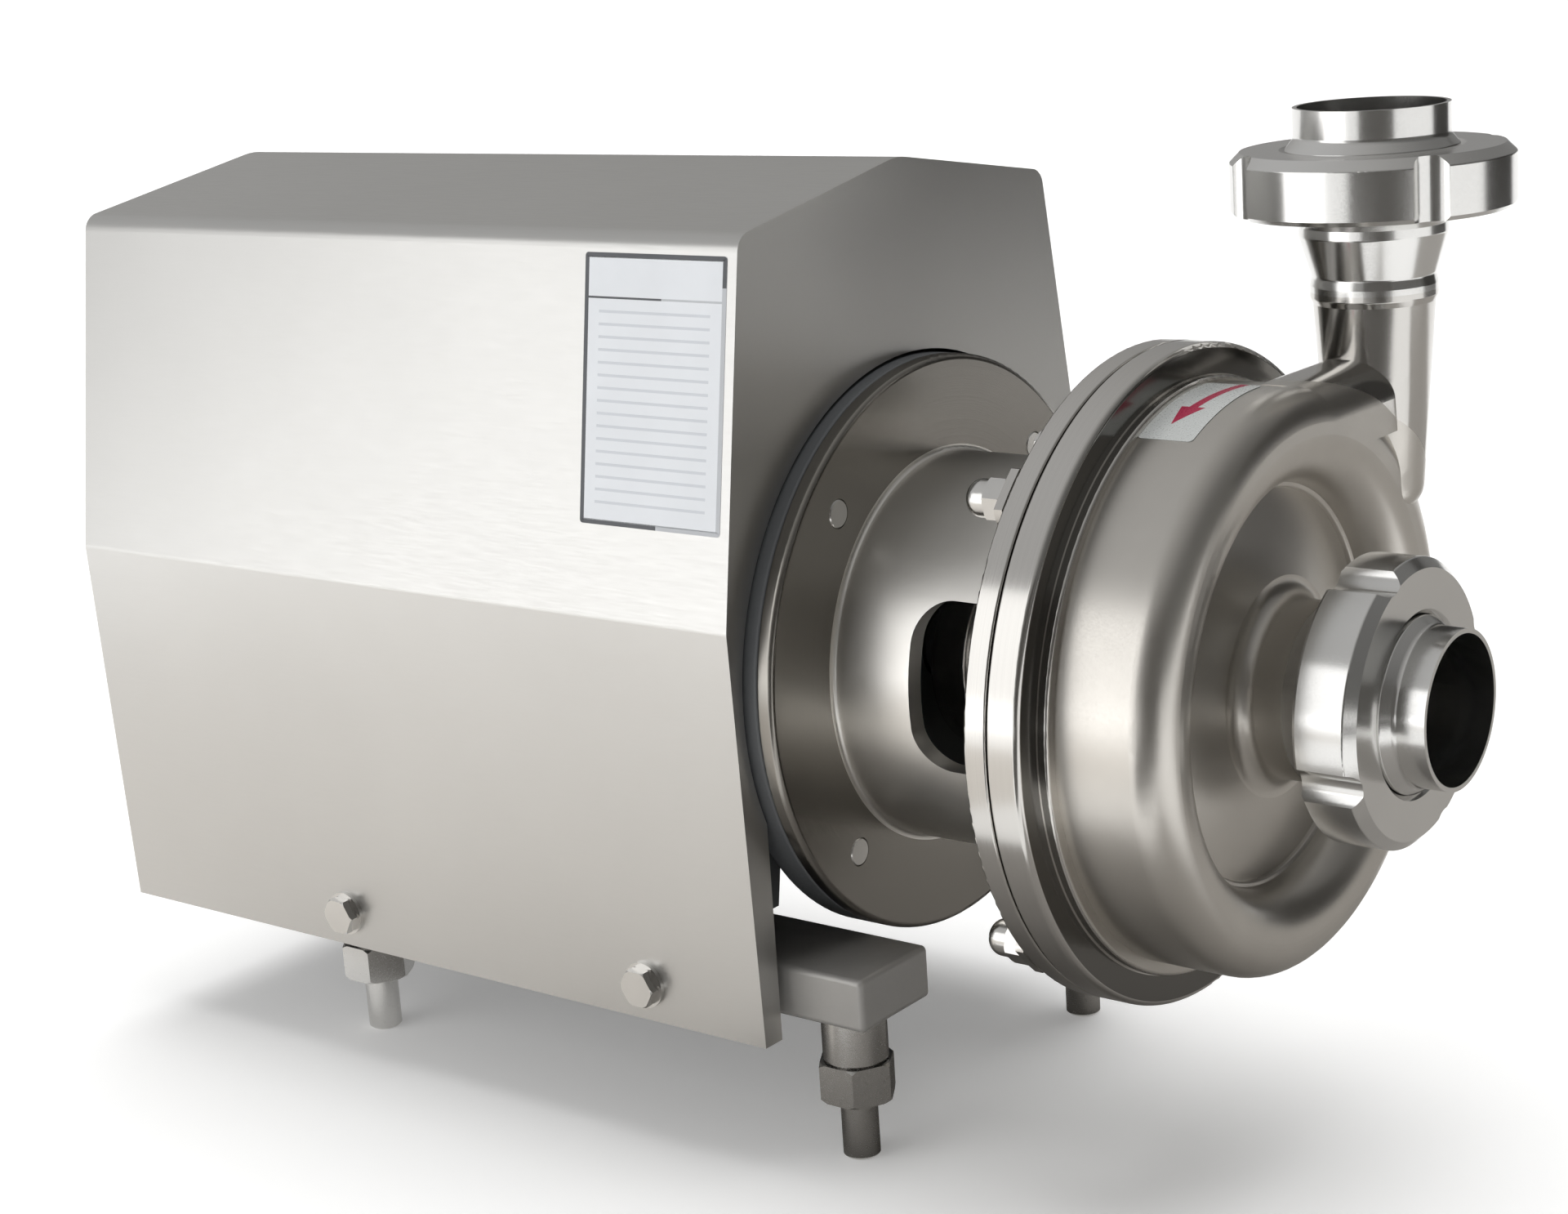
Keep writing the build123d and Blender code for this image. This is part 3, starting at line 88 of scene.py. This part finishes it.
seen = nodes.new("ShaderNodeLightPath")
either = nodes.new("ShaderNodeMath")
either.operation = "MAXIMUM"
whiten = nodes.new("ShaderNodeMath")
whiten.operation = "MULTIPLY"
whiten.inputs[1].default_value = floor_glow
links.new(seen.outputs["Is Camera Ray"], either.inputs[0])
links.new(seen.outputs["Is Glossy Ray"], either.inputs[1])
links.new(either.outputs["Value"], whiten.inputs[0])
links.new(whiten.outputs["Value"], shader.inputs["Emission Strength"])
floor.data.materials.append(paper)


# Felt cards: six grey cards that only the metal's reflections see. Four lie on the floor and two
# stand out of the picture, one behind the pump and one beside the camera.
def felt_card(name, centre, facing, width, height, shade):
    """A card of one grey that shows in reflections and lights or shades nothing else."""
    bpy.ops.object.select_all(action="DESELECT")
    bpy.ops.mesh.primitive_plane_add(size=1)
    card = bpy.context.object
    card.name = name
    turned = Vector(facing).to_track_quat("Z", "Y").to_matrix().to_4x4()
    size = Matrix.Diagonal((width, height, 1, 1))
    card.data.transform(Matrix.Translation(centre) @ turned @ size)
    felt, nodes, links, shader = node_material(name + "_felt")
    shader.inputs["Roughness"].default_value = 1.0
    shader.inputs["Specular IOR Level"].default_value = 0.0
    pile = nodes.new("ShaderNodeTexNoise")
    pile.inputs["Scale"].default_value = 40
    tone = nodes.new("ShaderNodeValToRGB")
    for stop, part in zip(tone.color_ramp.elements, (0.9, 1.1)):
        stop.color = (shade * part, shade * part * 0.96, shade * part * 0.91, 1)
    spot = nodes.new("ShaderNodeTexCoord")
    links.new(spot.outputs["Object"], pile.inputs["Vector"])
    links.new(pile.outputs["Fac"], tone.inputs["Fac"])
    links.new(tone.outputs["Color"], shader.inputs["Base Color"])
    card.data.materials.append(felt)
    card.visible_camera = False
    card.visible_shadow = False
    card.visible_diffuse = False


upward = (0, 0, 1)
card_height = floor_height + 0.002
under_height = floor_height + 0.001
felt_card("card_floor", centre=(0.50, 0.66, card_height), facing=upward,
          width=1.1, height=0.9, shade=0.40)
felt_card("card_under", centre=(-0.09, 0.0, under_height), facing=upward,
          width=0.54, height=0.44, shade=0.34)
felt_card("card_front", centre=(0.45, -0.80, card_height), facing=upward,
          width=1.2, height=0.9, shade=0.12)
felt_card("card_side", centre=(-0.62, -0.42, card_height), facing=upward,
          width=0.72, height=0.56, shade=0.80)
felt_card("card_back", centre=(0.80, 1.38, 0.34), facing=(-0.5, -0.87, 0),
          width=1.3, height=1.0, shade=0.06)
felt_card("card_camera", centre=(0.80, -1.25, 0.44), facing=(-0.54, 0.84, 0),
          width=1.5, height=1.2, shade=0.14)

# The lamps: one broad soft lamp at the left, square to the cover's near side, and a wide soft
# light from above that gives the floor its faint shadow and leaves no mark on the metal.
left_lamp = bpy.data.objects.new("lamp_left", bpy.data.lights.new("lamp_left", "AREA"))
bpy.context.scene.collection.objects.link(left_lamp)
left_lamp.data.shape = "RECTANGLE"
left_lamp.data.size = 1.42
left_lamp.data.size_y = 1.06
left_lamp.data.energy = 5.2
left_lamp.location = (-1.04, -1.15, 0.37)
left_lamp.rotation_euler = Vector((0, -1, 0)).to_track_quat("Z", "Y").to_euler()
high_lamp = bpy.data.objects.new("lamp_high", bpy.data.lights.new("lamp_high", "SUN"))
bpy.context.scene.collection.objects.link(high_lamp)
high_lamp.data.energy = 2.2
high_lamp.data.angle = radians(60)
high_lamp.rotation_euler = Vector((0, 0.25, 1)).to_track_quat("Z", "Y").to_euler()
high_lamp.visible_glossy = False

# The room: grey walls, pale on the upper left and almost black on the lower right, which give the
# bare metal its slow change from light to dark.
room = bpy.data.worlds.new("room")
bpy.context.scene.world = room
room.use_nodes = True
nodes, links = room.node_tree.nodes, room.node_tree.links
direction = nodes.new("ShaderNodeTexCoord")
leftness = nodes.new("ShaderNodeVectorMath")
leftness.operation = "DOT_PRODUCT"
leftness.inputs[1].default_value = (-0.75, -0.2, 0.62)
links.new(direction.outputs["Generated"], leftness.inputs[0])
share = nodes.new("ShaderNodeMapRange")
share.inputs["From Min"].default_value = -1
walls = nodes.new("ShaderNodeValToRGB")
stops = walls.color_ramp.elements
stops[0].position, stops[0].color = 0.1, (0.12, 0.118, 0.11, 1)
stops[1].position, stops[1].color = 1.0, (0.55, 0.55, 0.55, 1)
for position, shade in ((0.42, 0.16), (0.8, 0.42)):
    stop = stops.new(position)
    stop.color = (shade, shade * 0.99, shade * 0.97, 1)
links.new(leftness.outputs["Value"], share.inputs["Value"])
links.new(share.outputs["Result"], walls.inputs["Fac"])
links.new(walls.outputs["Color"], nodes["Background"].inputs["Color"])


# Pump casing: investment-cast stainless steel, bead-blasted to an even warm grey. The flange's
# rim is turned afterwards, and a thin ring of painted shade darkens the flange's front face beside
# the scroll.
def finish(name, colour, colour_spread, dull, dull_spread, grain_size, grain_depth, cloud_size,
           stretch=(1, 1, 1), metal=1.0):
    """Metal or plastic whose tone and dullness drift, with a fine grain on its surface."""
    material, nodes, links, shader = node_material(name)
    shader.inputs["Metallic"].default_value = metal
    place = nodes.new("ShaderNodeTexCoord")
    lay = nodes.new("ShaderNodeMapping")
    lay.inputs["Scale"].default_value = stretch
    links.new(place.outputs["Object"], lay.inputs["Vector"])
    cloud = nodes.new("ShaderNodeTexNoise")
    cloud.inputs["Scale"].default_value = 1 / cloud_size
    cloud.inputs["Detail"].default_value = 3
    links.new(place.outputs["Object"], cloud.inputs["Vector"])
    tint = nodes.new("ShaderNodeValToRGB")
    low, high = tint.color_ramp.elements
    low.position, high.position = 0.3, 0.7
    low.color = (*[c * (1 - colour_spread) for c in colour], 1)
    high.color = (*[c * (1 + colour_spread) for c in colour], 1)
    links.new(cloud.outputs["Fac"], tint.inputs["Fac"])
    links.new(tint.outputs["Color"], shader.inputs["Base Color"])
    grain = nodes.new("ShaderNodeTexNoise")
    grain.inputs["Scale"].default_value = 1 / grain_size
    grain.inputs["Detail"].default_value = 2
    links.new(lay.outputs["Vector"], grain.inputs["Vector"])
    sheen = nodes.new("ShaderNodeMapRange")
    sheen.inputs["From Min"].default_value = 0.3
    sheen.inputs["From Max"].default_value = 0.7
    sheen.inputs["To Min"].default_value = dull - dull_spread
    sheen.inputs["To Max"].default_value = dull + dull_spread
    links.new(grain.outputs["Fac"], sheen.inputs["Value"])
    links.new(sheen.outputs["Result"], shader.inputs["Roughness"])
    relief = nodes.new("ShaderNodeBump")
    relief.inputs["Strength"].default_value = 1.0
    relief.inputs["Distance"].default_value = grain_depth
    links.new(grain.outputs["Fac"], relief.inputs["Height"])
    links.new(relief.outputs["Normal"], shader.inputs["Normal"])
    return material


def reach_from_shaft(material):
    """Distance of a point from the shaft's line, as a socket."""
    nodes, links = material.node_tree.nodes, material.node_tree.links
    place = nodes.new("ShaderNodeTexCoord")
    flat = nodes.new("ShaderNodeMapping")
    flat.inputs["Scale"].default_value = (0, 1, 1)
    links.new(place.outputs["Object"], flat.inputs["Vector"])
    reach = nodes.new("ShaderNodeVectorMath")
    reach.operation = "LENGTH"
    links.new(flat.outputs["Vector"], reach.inputs[0])
    return reach.outputs["Value"]


def turned_beyond(material, radius, colour, dull, groove=0.0005, depth=0.000004):
    """Gives a material a turned finish, with tool rings, outside a radius."""
    nodes, links = material.node_tree.nodes, material.node_tree.links
    shader = nodes["Principled BSDF"]
    reach = reach_from_shaft(material)
    outside = nodes.new("ShaderNodeMath")
    outside.operation = "GREATER_THAN"
    outside.inputs[1].default_value = radius
    links.new(reach, outside.inputs[0])
    place = nodes.new("ShaderNodeTexCoord")
    along = nodes.new("ShaderNodeSeparateXYZ")
    links.new(place.outputs["Object"], along.inputs["Vector"])
    cut = nodes.new("ShaderNodeCombineXYZ")
    links.new(reach, cut.inputs["X"])
    links.new(along.outputs["X"], cut.inputs["Y"])
    rings = nodes.new("ShaderNodeTexNoise")
    rings.inputs["Scale"].default_value = 1 / groove
    links.new(cut.outputs["Vector"], rings.inputs["Vector"])
    tint = nodes.new("ShaderNodeMixRGB")
    links.new(outside.outputs["Value"], tint.inputs["Fac"])
    links.new(shader.inputs["Base Color"].links[0].from_socket, tint.inputs["Color1"])
    tone = nodes.new("ShaderNodeValToRGB")
    for stop, part in zip(tone.color_ramp.elements, (0.94, 1.06)):
        stop.color = (*[c * part for c in colour], 1)
    links.new(rings.outputs["Fac"], tone.inputs["Fac"])
    links.new(tone.outputs["Color"], tint.inputs["Color2"])
    links.new(tint.outputs["Color"], shader.inputs["Base Color"])
    sheen = nodes.new("ShaderNodeMapRange")
    sheen.inputs["To Min"].default_value = dull * 0.8
    sheen.inputs["To Max"].default_value = dull * 1.2
    links.new(rings.outputs["Fac"], sheen.inputs["Value"])
    smooth = nodes.new("ShaderNodeMix")
    links.new(outside.outputs["Value"], smooth.inputs["Factor"])
    links.new(shader.inputs["Roughness"].links[0].from_socket, smooth.inputs["A"])
    links.new(sheen.outputs["Result"], smooth.inputs["B"])
    links.new(smooth.outputs["Result"], shader.inputs["Roughness"])
    relief = nodes.new("ShaderNodeBump")
    relief.inputs["Distance"].default_value = depth
    links.new(rings.outputs["Fac"], relief.inputs["Height"])
    lie = nodes.new("ShaderNodeMix")
    lie.data_type = "VECTOR"
    links.new(outside.outputs["Value"], lie.inputs["Factor"])
    links.new(shader.inputs["Normal"].links[0].from_socket, lie.inputs["A"])
    links.new(relief.outputs["Normal"], lie.inputs["B"])
    links.new(lie.outputs["Result"], shader.inputs["Normal"])


def painted_shade_ring(material, along, reach, colour):
    """Paints shade as a darker ring about the shaft, between two places along it and two radii."""
    nodes, links = material.node_tree.nodes, material.node_tree.links
    shader = nodes["Principled BSDF"]
    place = nodes.new("ShaderNodeTexCoord")
    split = nodes.new("ShaderNodeSeparateXYZ")
    links.new(place.outputs["Object"], split.inputs["Vector"])
    shares = []
    for value, (low, high) in ((split.outputs["X"], along), (reach_from_shaft(material), reach)):
        near = nodes.new("ShaderNodeMath")
        near.operation = "COMPARE"
        near.inputs[1].default_value = (low + high) / 2
        near.inputs[2].default_value = (high - low) / 2
        links.new(value, near.inputs[0])
        shares.append(near.outputs["Value"])
    both = nodes.new("ShaderNodeMath")
    both.operation = "MULTIPLY"
    links.new(shares[0], both.inputs[0])
    links.new(shares[1], both.inputs[1])
    shade_over = nodes.new("ShaderNodeMixRGB")
    links.new(both.outputs["Value"], shade_over.inputs["Fac"])
    links.new(shader.inputs["Base Color"].links[0].from_socket, shade_over.inputs["Color1"])
    shade_over.inputs["Color2"].default_value = (*colour, 1)
    links.new(shade_over.outputs["Color"], shader.inputs["Base Color"])


def dress(material, *names):
    """Gives one material to the named pieces."""
    for name in names:
        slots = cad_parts[name].data.materials
        slots.clear()
        slots.append(material)


turned_colour, turned_dull = (0.62, 0.605, 0.58), 0.16
blasted_steel = finish("blasted_steel", colour=(0.64, 0.615, 0.575), colour_spread=0.04,
                       dull=0.32, dull_spread=0.04, grain_size=0.0006, grain_depth=0.000006,
                       cloud_size=0.03)
turned_beyond(blasted_steel, radius=0.0975, colour=turned_colour, dull=turned_dull)
# Painted shade: a dark ring on the flange's front face, in the corner beside the scroll.
painted_shade_ring(blasted_steel, along=(-0.0912, -0.0902), reach=(0.0984, 0.1068),
           colour=(0.17, 0.165, 0.155))
dress(blasted_steel, "pump_casing")

# Unions at both ports: slotted round nuts, liners and threaded male parts, all turned from
# stainless bar and polished bright. The male parts are welded to the casing's two necks.
polished_steel = finish("polished_steel", colour=(0.74, 0.735, 0.72), colour_spread=0.02,
                        dull=0.19, dull_spread=0.03, grain_size=0.0005, grain_depth=0.000004,
                        cloud_size=0.02)
dress(polished_steel, "inlet_nut", "outlet_nut", "inlet_liner", "outlet_liner",
      "inlet_male_part", "outlet_male_part")

# Lantern and back plate: stainless castings between the pump and the motor. The tube keeps its
# pale blasted skin. The rear disc and the front flange are turned, and painted shade darkens
# their faces inside the turned rim.
lantern_steel = finish("lantern_steel", colour=(0.90, 0.88, 0.84), colour_spread=0.03,
                       dull=0.36, dull_spread=0.04, grain_size=0.0006, grain_depth=0.000004,
                       cloud_size=0.03)
# Painted shade: the turned faces between 69 and 100.5 mm from the shaft get a darker tone.
turned_beyond(lantern_steel, radius=0.069, colour=(0.33, 0.315, 0.29), dull=0.24)
turned_beyond(lantern_steel, radius=0.1005, colour=turned_colour, dull=turned_dull)
dress(lantern_steel, "lantern", "back_plate")

# Cover: 1.5 mm stainless sheet with a fine satin grain along the shaft. The shell is folded, its
# two end plates are welded in, and four bosses at the hem take the bolts.
satin_sheet = finish("satin_sheet", colour=(0.60, 0.595, 0.58), colour_spread=0.02,
                     dull=0.34, dull_spread=0.04, grain_size=0.0006, grain_depth=0.000006,
                     cloud_size=0.1, stretch=(0.05, 1, 1))
dress(satin_sheet, "cover_shell", "cover_front", "cover_rear", "cover_bosses")

# Base: two dull stainless bars that carry the motor's feet. The bosses under them, the locknuts
# and the levelling studs are turned from brighter bar.
rail_steel = finish("rail_steel", colour=(0.40, 0.39, 0.375), colour_spread=0.05,
                    dull=0.42, dull_spread=0.05, grain_size=0.0007, grain_depth=0.00002,
                    cloud_size=0.02, metal=0.5)
dress(rail_steel, "rail_near", "rail_far")
bar_steel = finish("bar_steel", colour=(0.66, 0.65, 0.63), colour_spread=0.03,
                   dull=0.24, dull_spread=0.04, grain_size=0.0005, grain_depth=0.00001,
                   cloud_size=0.02)
dress(bar_steel, "foot_bosses", "foot_locknuts", "foot_stud_front_near",
      "foot_stud_front_far", "foot_stud_rear_near", "foot_stud_rear_far")

# Fasteners: cold-headed stainless bolts, screws and studs with domed or hexagon nuts. They hold
# the casing, the motor's flange and feet, the cover and the shaft's clamp.
bolt_steel = finish("bolt_steel", colour=(0.70, 0.69, 0.67), colour_spread=0.03,
                    dull=0.2, dull_spread=0.04, grain_size=0.0005, grain_depth=0.00001,
                    cloud_size=0.01)
dress(bolt_steel, "casing_studs", "cap_nuts", "lantern_screws", "flange_bolts",
      "motor_foot_bolts", "cover_bolts", "clamp_screw")

# Rotor: the motor's ground shaft, the stub shaft that is clamped on it by the collar, and the
# cast impeller, which a key drives and a domed nut holds.
ground_steel = finish("ground_steel", colour=(0.62, 0.61, 0.60), colour_spread=0.03,
                      dull=0.22, dull_spread=0.04, grain_size=0.0005, grain_depth=0.00001,
                      cloud_size=0.01)
dress(ground_steel, "stub_shaft", "clamp_ring", "motor_shaft", "impeller", "impeller_key",
      "impeller_nut")

# Seals: black moulded rubber for the gaskets, the O-ring, the bellows and the slinger, and the
# nearly black carbon and ceramic faces of the shaft's seal.
seal_rubber = finish("seal_rubber", colour=(0.03, 0.03, 0.03), colour_spread=0.1,
                     dull=0.6, dull_spread=0.06, grain_size=0.0008, grain_depth=0.00001,
                     cloud_size=0.01, metal=0.0)
dress(seal_rubber, "inlet_gasket", "outlet_gasket", "casing_gasket", "seal_oring",
      "shaft_slinger", "seal_ring", "seal_seat", "seal_bellows")

# Motor: aluminium castings, a sheet cowl and a plastic fan under dark grey paint, hidden in the
# cover. Inside them are the laminated cores, the ball bearings and the copper windings.
motor_paint = finish("motor_paint", colour=(0.10, 0.105, 0.11), colour_spread=0.06,
                     dull=0.5, dull_spread=0.06, grain_size=0.0008, grain_depth=0.00002,
                     cloud_size=0.03, metal=0.0)
dress(motor_paint, "motor_front_shield", "motor_frame", "motor_rear_shield", "fan_cowl",
      "terminal_box", "terminal_box_lid", "terminal_block", "cable_gland", "cooling_fan")
core_steel = finish("core_steel", colour=(0.35, 0.35, 0.36), colour_spread=0.06,
                    dull=0.4, dull_spread=0.06, grain_size=0.0008, grain_depth=0.00002,
                    cloud_size=0.01)
dress(core_steel, "stator_core", "rotor_core", "bearing_outer_rings", "bearing_inner_rings",
      "bearing_balls")
copper_wire = finish("copper_wire", colour=(0.60, 0.27, 0.12), colour_spread=0.1,
                     dull=0.35, dull_spread=0.06, grain_size=0.0015, grain_depth=0.0002,
                     cloud_size=0.01)
dress(copper_wire, "stator_windings")


# Label plate: a thin white foil glued to the cover's upper near panel. It carries no wording, only
# a printed frame, a head line and faint ruled lines.
def pick(mesh, part, wanted):
    """Selects, in edit mode, the vertices, edges or faces whose middle passes the test."""
    bpy.ops.mesh.select_all(action="DESELECT")
    shape = bmesh.from_edit_mesh(mesh)
    for each in getattr(shape, part):
        ends = [each] if part == "verts" else each.verts
        if wanted(sum((v.co for v in ends), Vector()) / len(ends)):
            each.select_set(True)
    bmesh.update_edit_mesh(mesh)


def centred(material, centre):
    """Object coordinates, measured from a point of the piece, as separate sockets."""
    nodes, links = material.node_tree.nodes, material.node_tree.links
    place = nodes.new("ShaderNodeTexCoord")
    away = nodes.new("ShaderNodeVectorMath")
    away.operation = "SUBTRACT"
    away.inputs[1].default_value = centre
    links.new(place.outputs["Object"], away.inputs[0])
    split = nodes.new("ShaderNodeSeparateXYZ")
    links.new(away.outputs["Vector"], split.inputs["Vector"])
    return split.outputs


def work(material, operation, *values):
    """One step of arithmetic on sockets and numbers."""
    node = material.node_tree.nodes.new("ShaderNodeMath")
    node.operation = operation
    for socket, value in zip(node.inputs, values):
        if isinstance(value, (int, float)):
            socket.default_value = value
        else:
            material.node_tree.links.new(value, socket)
    return node.outputs["Value"]


def print_over(material, share, colour):
    """Prints a colour over a finished material where the share is 1."""
    nodes, links = material.node_tree.nodes, material.node_tree.links
    shader = nodes["Principled BSDF"]
    ink = nodes.new("ShaderNodeMixRGB")
    links.new(share, ink.inputs["Fac"])
    links.new(shader.inputs["Base Color"].links[0].from_socket, ink.inputs["Color1"])
    ink.inputs["Color2"].default_value = (*colour, 1)
    links.new(ink.outputs["Color"], shader.inputs["Base Color"])


label_width, label_height, label_foil = 0.0597, 0.0888, 0.0003
label_corner, label_frame, label_head, head_line = 0.0012, 0.0017, 0.0142, 0.0007
label_middle = (-0.2347, -0.0951, 0.1026)
panel_lean = radians(80.9)
label_edge = (label_width / 2 - label_frame, label_height / 2 - label_frame)


def on_corner(c):
    """Whether a point of the flat label is at one of its four corners."""
    return abs(c.x) > 0.49 * label_width and abs(c.y) > 0.49 * label_height


def on_print(c):
    """Whether a point of the flat label is on its printed side."""
    return c.z > 0.45 * label_foil


bpy.ops.object.select_all(action="DESELECT")
bpy.ops.mesh.primitive_cube_add(size=1)
label = bpy.context.object
label.name = "label_plate"
bpy.ops.object.mode_set(mode="EDIT")
bpy.ops.transform.resize(value=(label_width, label_height, label_foil))
pick(label.data, "edges", on_corner)
bpy.ops.mesh.bevel(offset=label_corner, segments=5, affect="EDGES")
pick(label.data, "faces", on_print)
bpy.ops.mesh.inset(thickness=label_frame)
for drop in (label_head, label_head + head_line):
    pick(label.data, "faces", lambda c: on_print(c) and abs(c.x) < 0.4 * label_width)
    bpy.ops.mesh.bisect(plane_co=(0, label_height / 2 - drop, 0), plane_no=(0, 1, 0))
bpy.ops.mesh.select_all(action="SELECT")
bpy.ops.mesh.normals_make_consistent(inside=False)
bpy.ops.object.mode_set(mode="OBJECT")

line_pitch, line_share, line_strength = 0.0041, 0.22, 0.5
lines_top, lines_bottom, lines_reach = 0.0255, -0.0385, 0.0235
foil = finish("label_foil", colour=(0.84, 0.865, 0.90), colour_spread=0.02,
              dull=0.42, dull_spread=0.04, grain_size=0.0006, grain_depth=0.000003,
              cloud_size=0.02, metal=0.0)
from_middle = centred(foil, label_middle)
row = work(foil, "FRACT", work(foil, "DIVIDE", from_middle["Z"], line_pitch))
ruled = work(foil, "LESS_THAN", row, line_share)
beside = work(foil, "ABSOLUTE", from_middle["X"])
for value, test, limit in (
    (from_middle["Z"], "LESS_THAN", lines_top),
    (from_middle["Z"], "GREATER_THAN", lines_bottom),
    (beside, "LESS_THAN", lines_reach),
):
    ruled = work(foil, "MULTIPLY", ruled, work(foil, test, value, limit))
print_over(foil, work(foil, "MULTIPLY", ruled, line_strength), colour=(0.50, 0.53, 0.58))

# The frame's ink is made paler right of the label's middle, except near its top.
paler_beyond, paler_below, paler_strength = 0.003, 0.034, 0.85
ink = finish("label_ink", colour=(0.085, 0.09, 0.10), colour_spread=0.08,
             dull=0.4, dull_spread=0.05, grain_size=0.0006, grain_depth=0.000003,
             cloud_size=0.02, metal=0.0)
from_middle = centred(ink, label_middle)
paler_ink = work(ink, "MULTIPLY", work(ink, "GREATER_THAN", from_middle["X"], paler_beyond),
            work(ink, "LESS_THAN", from_middle["Z"], paler_below))
print_over(ink, work(ink, "MULTIPLY", paler_ink, paler_strength), colour=(0.62, 0.64, 0.67))
label.data.materials.append(foil)
label.data.materials.append(ink)
for face in label.data.polygons:
    middle = face.center
    on_frame = abs(middle.x) > label_edge[0] or abs(middle.y) > label_edge[1]
    on_line = label_head < label_height / 2 - middle.y < label_head + head_line
    if on_print(middle) and (on_frame or on_line):
        face.material_index = 1
label.rotation_euler = (panel_lean, 0, 0)
label.location = label_middle
bpy.ops.object.transform_apply(location=True, rotation=True, scale=True)
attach(label, "pump")

# Direction sticker: silver vinyl laid round the top of the scroll, with a plain red arrow that
# shows which way the impeller turns.
sticker_radius, sticker_vinyl, sticker_corner = 0.09503, 0.00015, 0.0015
sticker_front, sticker_rear = -0.0680, -0.0874
sticker_start, sticker_turn, sticker_steps = radians(88.0), radians(27.5), 22
scroll_middle = (0, 0.0008, 0.0012)
bpy.ops.object.select_all(action="DESELECT")
bpy.ops.mesh.primitive_plane_add(size=1)
sticker = bpy.context.object
sticker.name = "direction_sticker"
bpy.ops.object.mode_set(mode="EDIT")
pick(sticker.data, "verts", lambda c: c.y > 0)
bpy.ops.mesh.delete(type="VERT")
bpy.ops.mesh.select_all(action="SELECT")
bpy.ops.transform.resize(value=(sticker_front - sticker_rear, 0, 0), center_override=(0, 0, 0))
bpy.ops.transform.translate(value=(
    (sticker_front + sticker_rear) / 2,
    scroll_middle[1] + sticker_radius * cos(sticker_start),
    scroll_middle[2] + sticker_radius * sin(sticker_start),
))
bpy.ops.mesh.spin(steps=sticker_steps, angle=sticker_turn, center=scroll_middle, axis=(-1, 0, 0))
bpy.ops.mesh.select_all(action="SELECT")
bpy.ops.mesh.normals_make_consistent(inside=False)
shape = bmesh.from_edit_mesh(sticker.data)
shape.faces.ensure_lookup_table()
first = shape.faces[0]
if first.normal.dot(first.calc_center_median() - Vector(scroll_middle)) < 0:
    bpy.ops.mesh.flip_normals()
bpy.ops.mesh.select_all(action="DESELECT")
shape = bmesh.from_edit_mesh(sticker.data)
for corner in shape.verts:
    corner.select_set(len(corner.link_edges) == 2)
bmesh.update_edit_mesh(sticker.data)
bpy.ops.mesh.bevel(offset=sticker_corner, segments=4, affect="VERTICES")
bpy.ops.object.mode_set(mode="OBJECT")
bpy.ops.object.modifier_add(type="SOLIDIFY")
sticker.modifiers["Solidify"].thickness = sticker_vinyl
sticker.modifiers["Solidify"].offset = 1
bpy.ops.object.modifier_apply(modifier="Solidify")
bpy.ops.object.shade_smooth_by_angle(angle=radians(30))

# The arrow's places round the shaft are in degrees, and its widths and slant in metres.
arrow_line, arrow_slant, arrow_half_width = -0.0520, 0.00025, 0.0015
neck_end, head_start, arrow_tip, head_flare = 104, 103.5, 110.5, 0.0006
silver = finish("silver_vinyl", colour=(0.60, 0.62, 0.61), colour_spread=0.03,
                dull=0.3, dull_spread=0.05, grain_size=0.0006, grain_depth=0.000003,
                cloud_size=0.015, metal=0.4)
from_middle = centred(silver, scroll_middle)
angle = work(silver, "ARCTAN2", from_middle["Z"], from_middle["Y"])
place = work(silver, "MULTIPLY", angle, 180 / pi)
line = work(silver, "SUBTRACT", arrow_line, work(silver, "MULTIPLY", place, arrow_slant))
aside = work(silver, "ABSOLUTE", work(silver, "SUBTRACT", from_middle["X"], line))
neck = work(silver, "MULTIPLY", work(silver, "LESS_THAN", aside, arrow_half_width),
            work(silver, "LESS_THAN", place, neck_end))
taper = work(silver, "MULTIPLY", work(silver, "SUBTRACT", arrow_tip, place), head_flare)
head = work(silver, "MULTIPLY", work(silver, "LESS_THAN", aside, taper),
            work(silver, "GREATER_THAN", place, head_start))
print_over(silver, work(silver, "MAXIMUM", neck, head), colour=(0.42, 0.02, 0.07))
sticker.data.materials.append(silver)
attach(sticker, "pump")
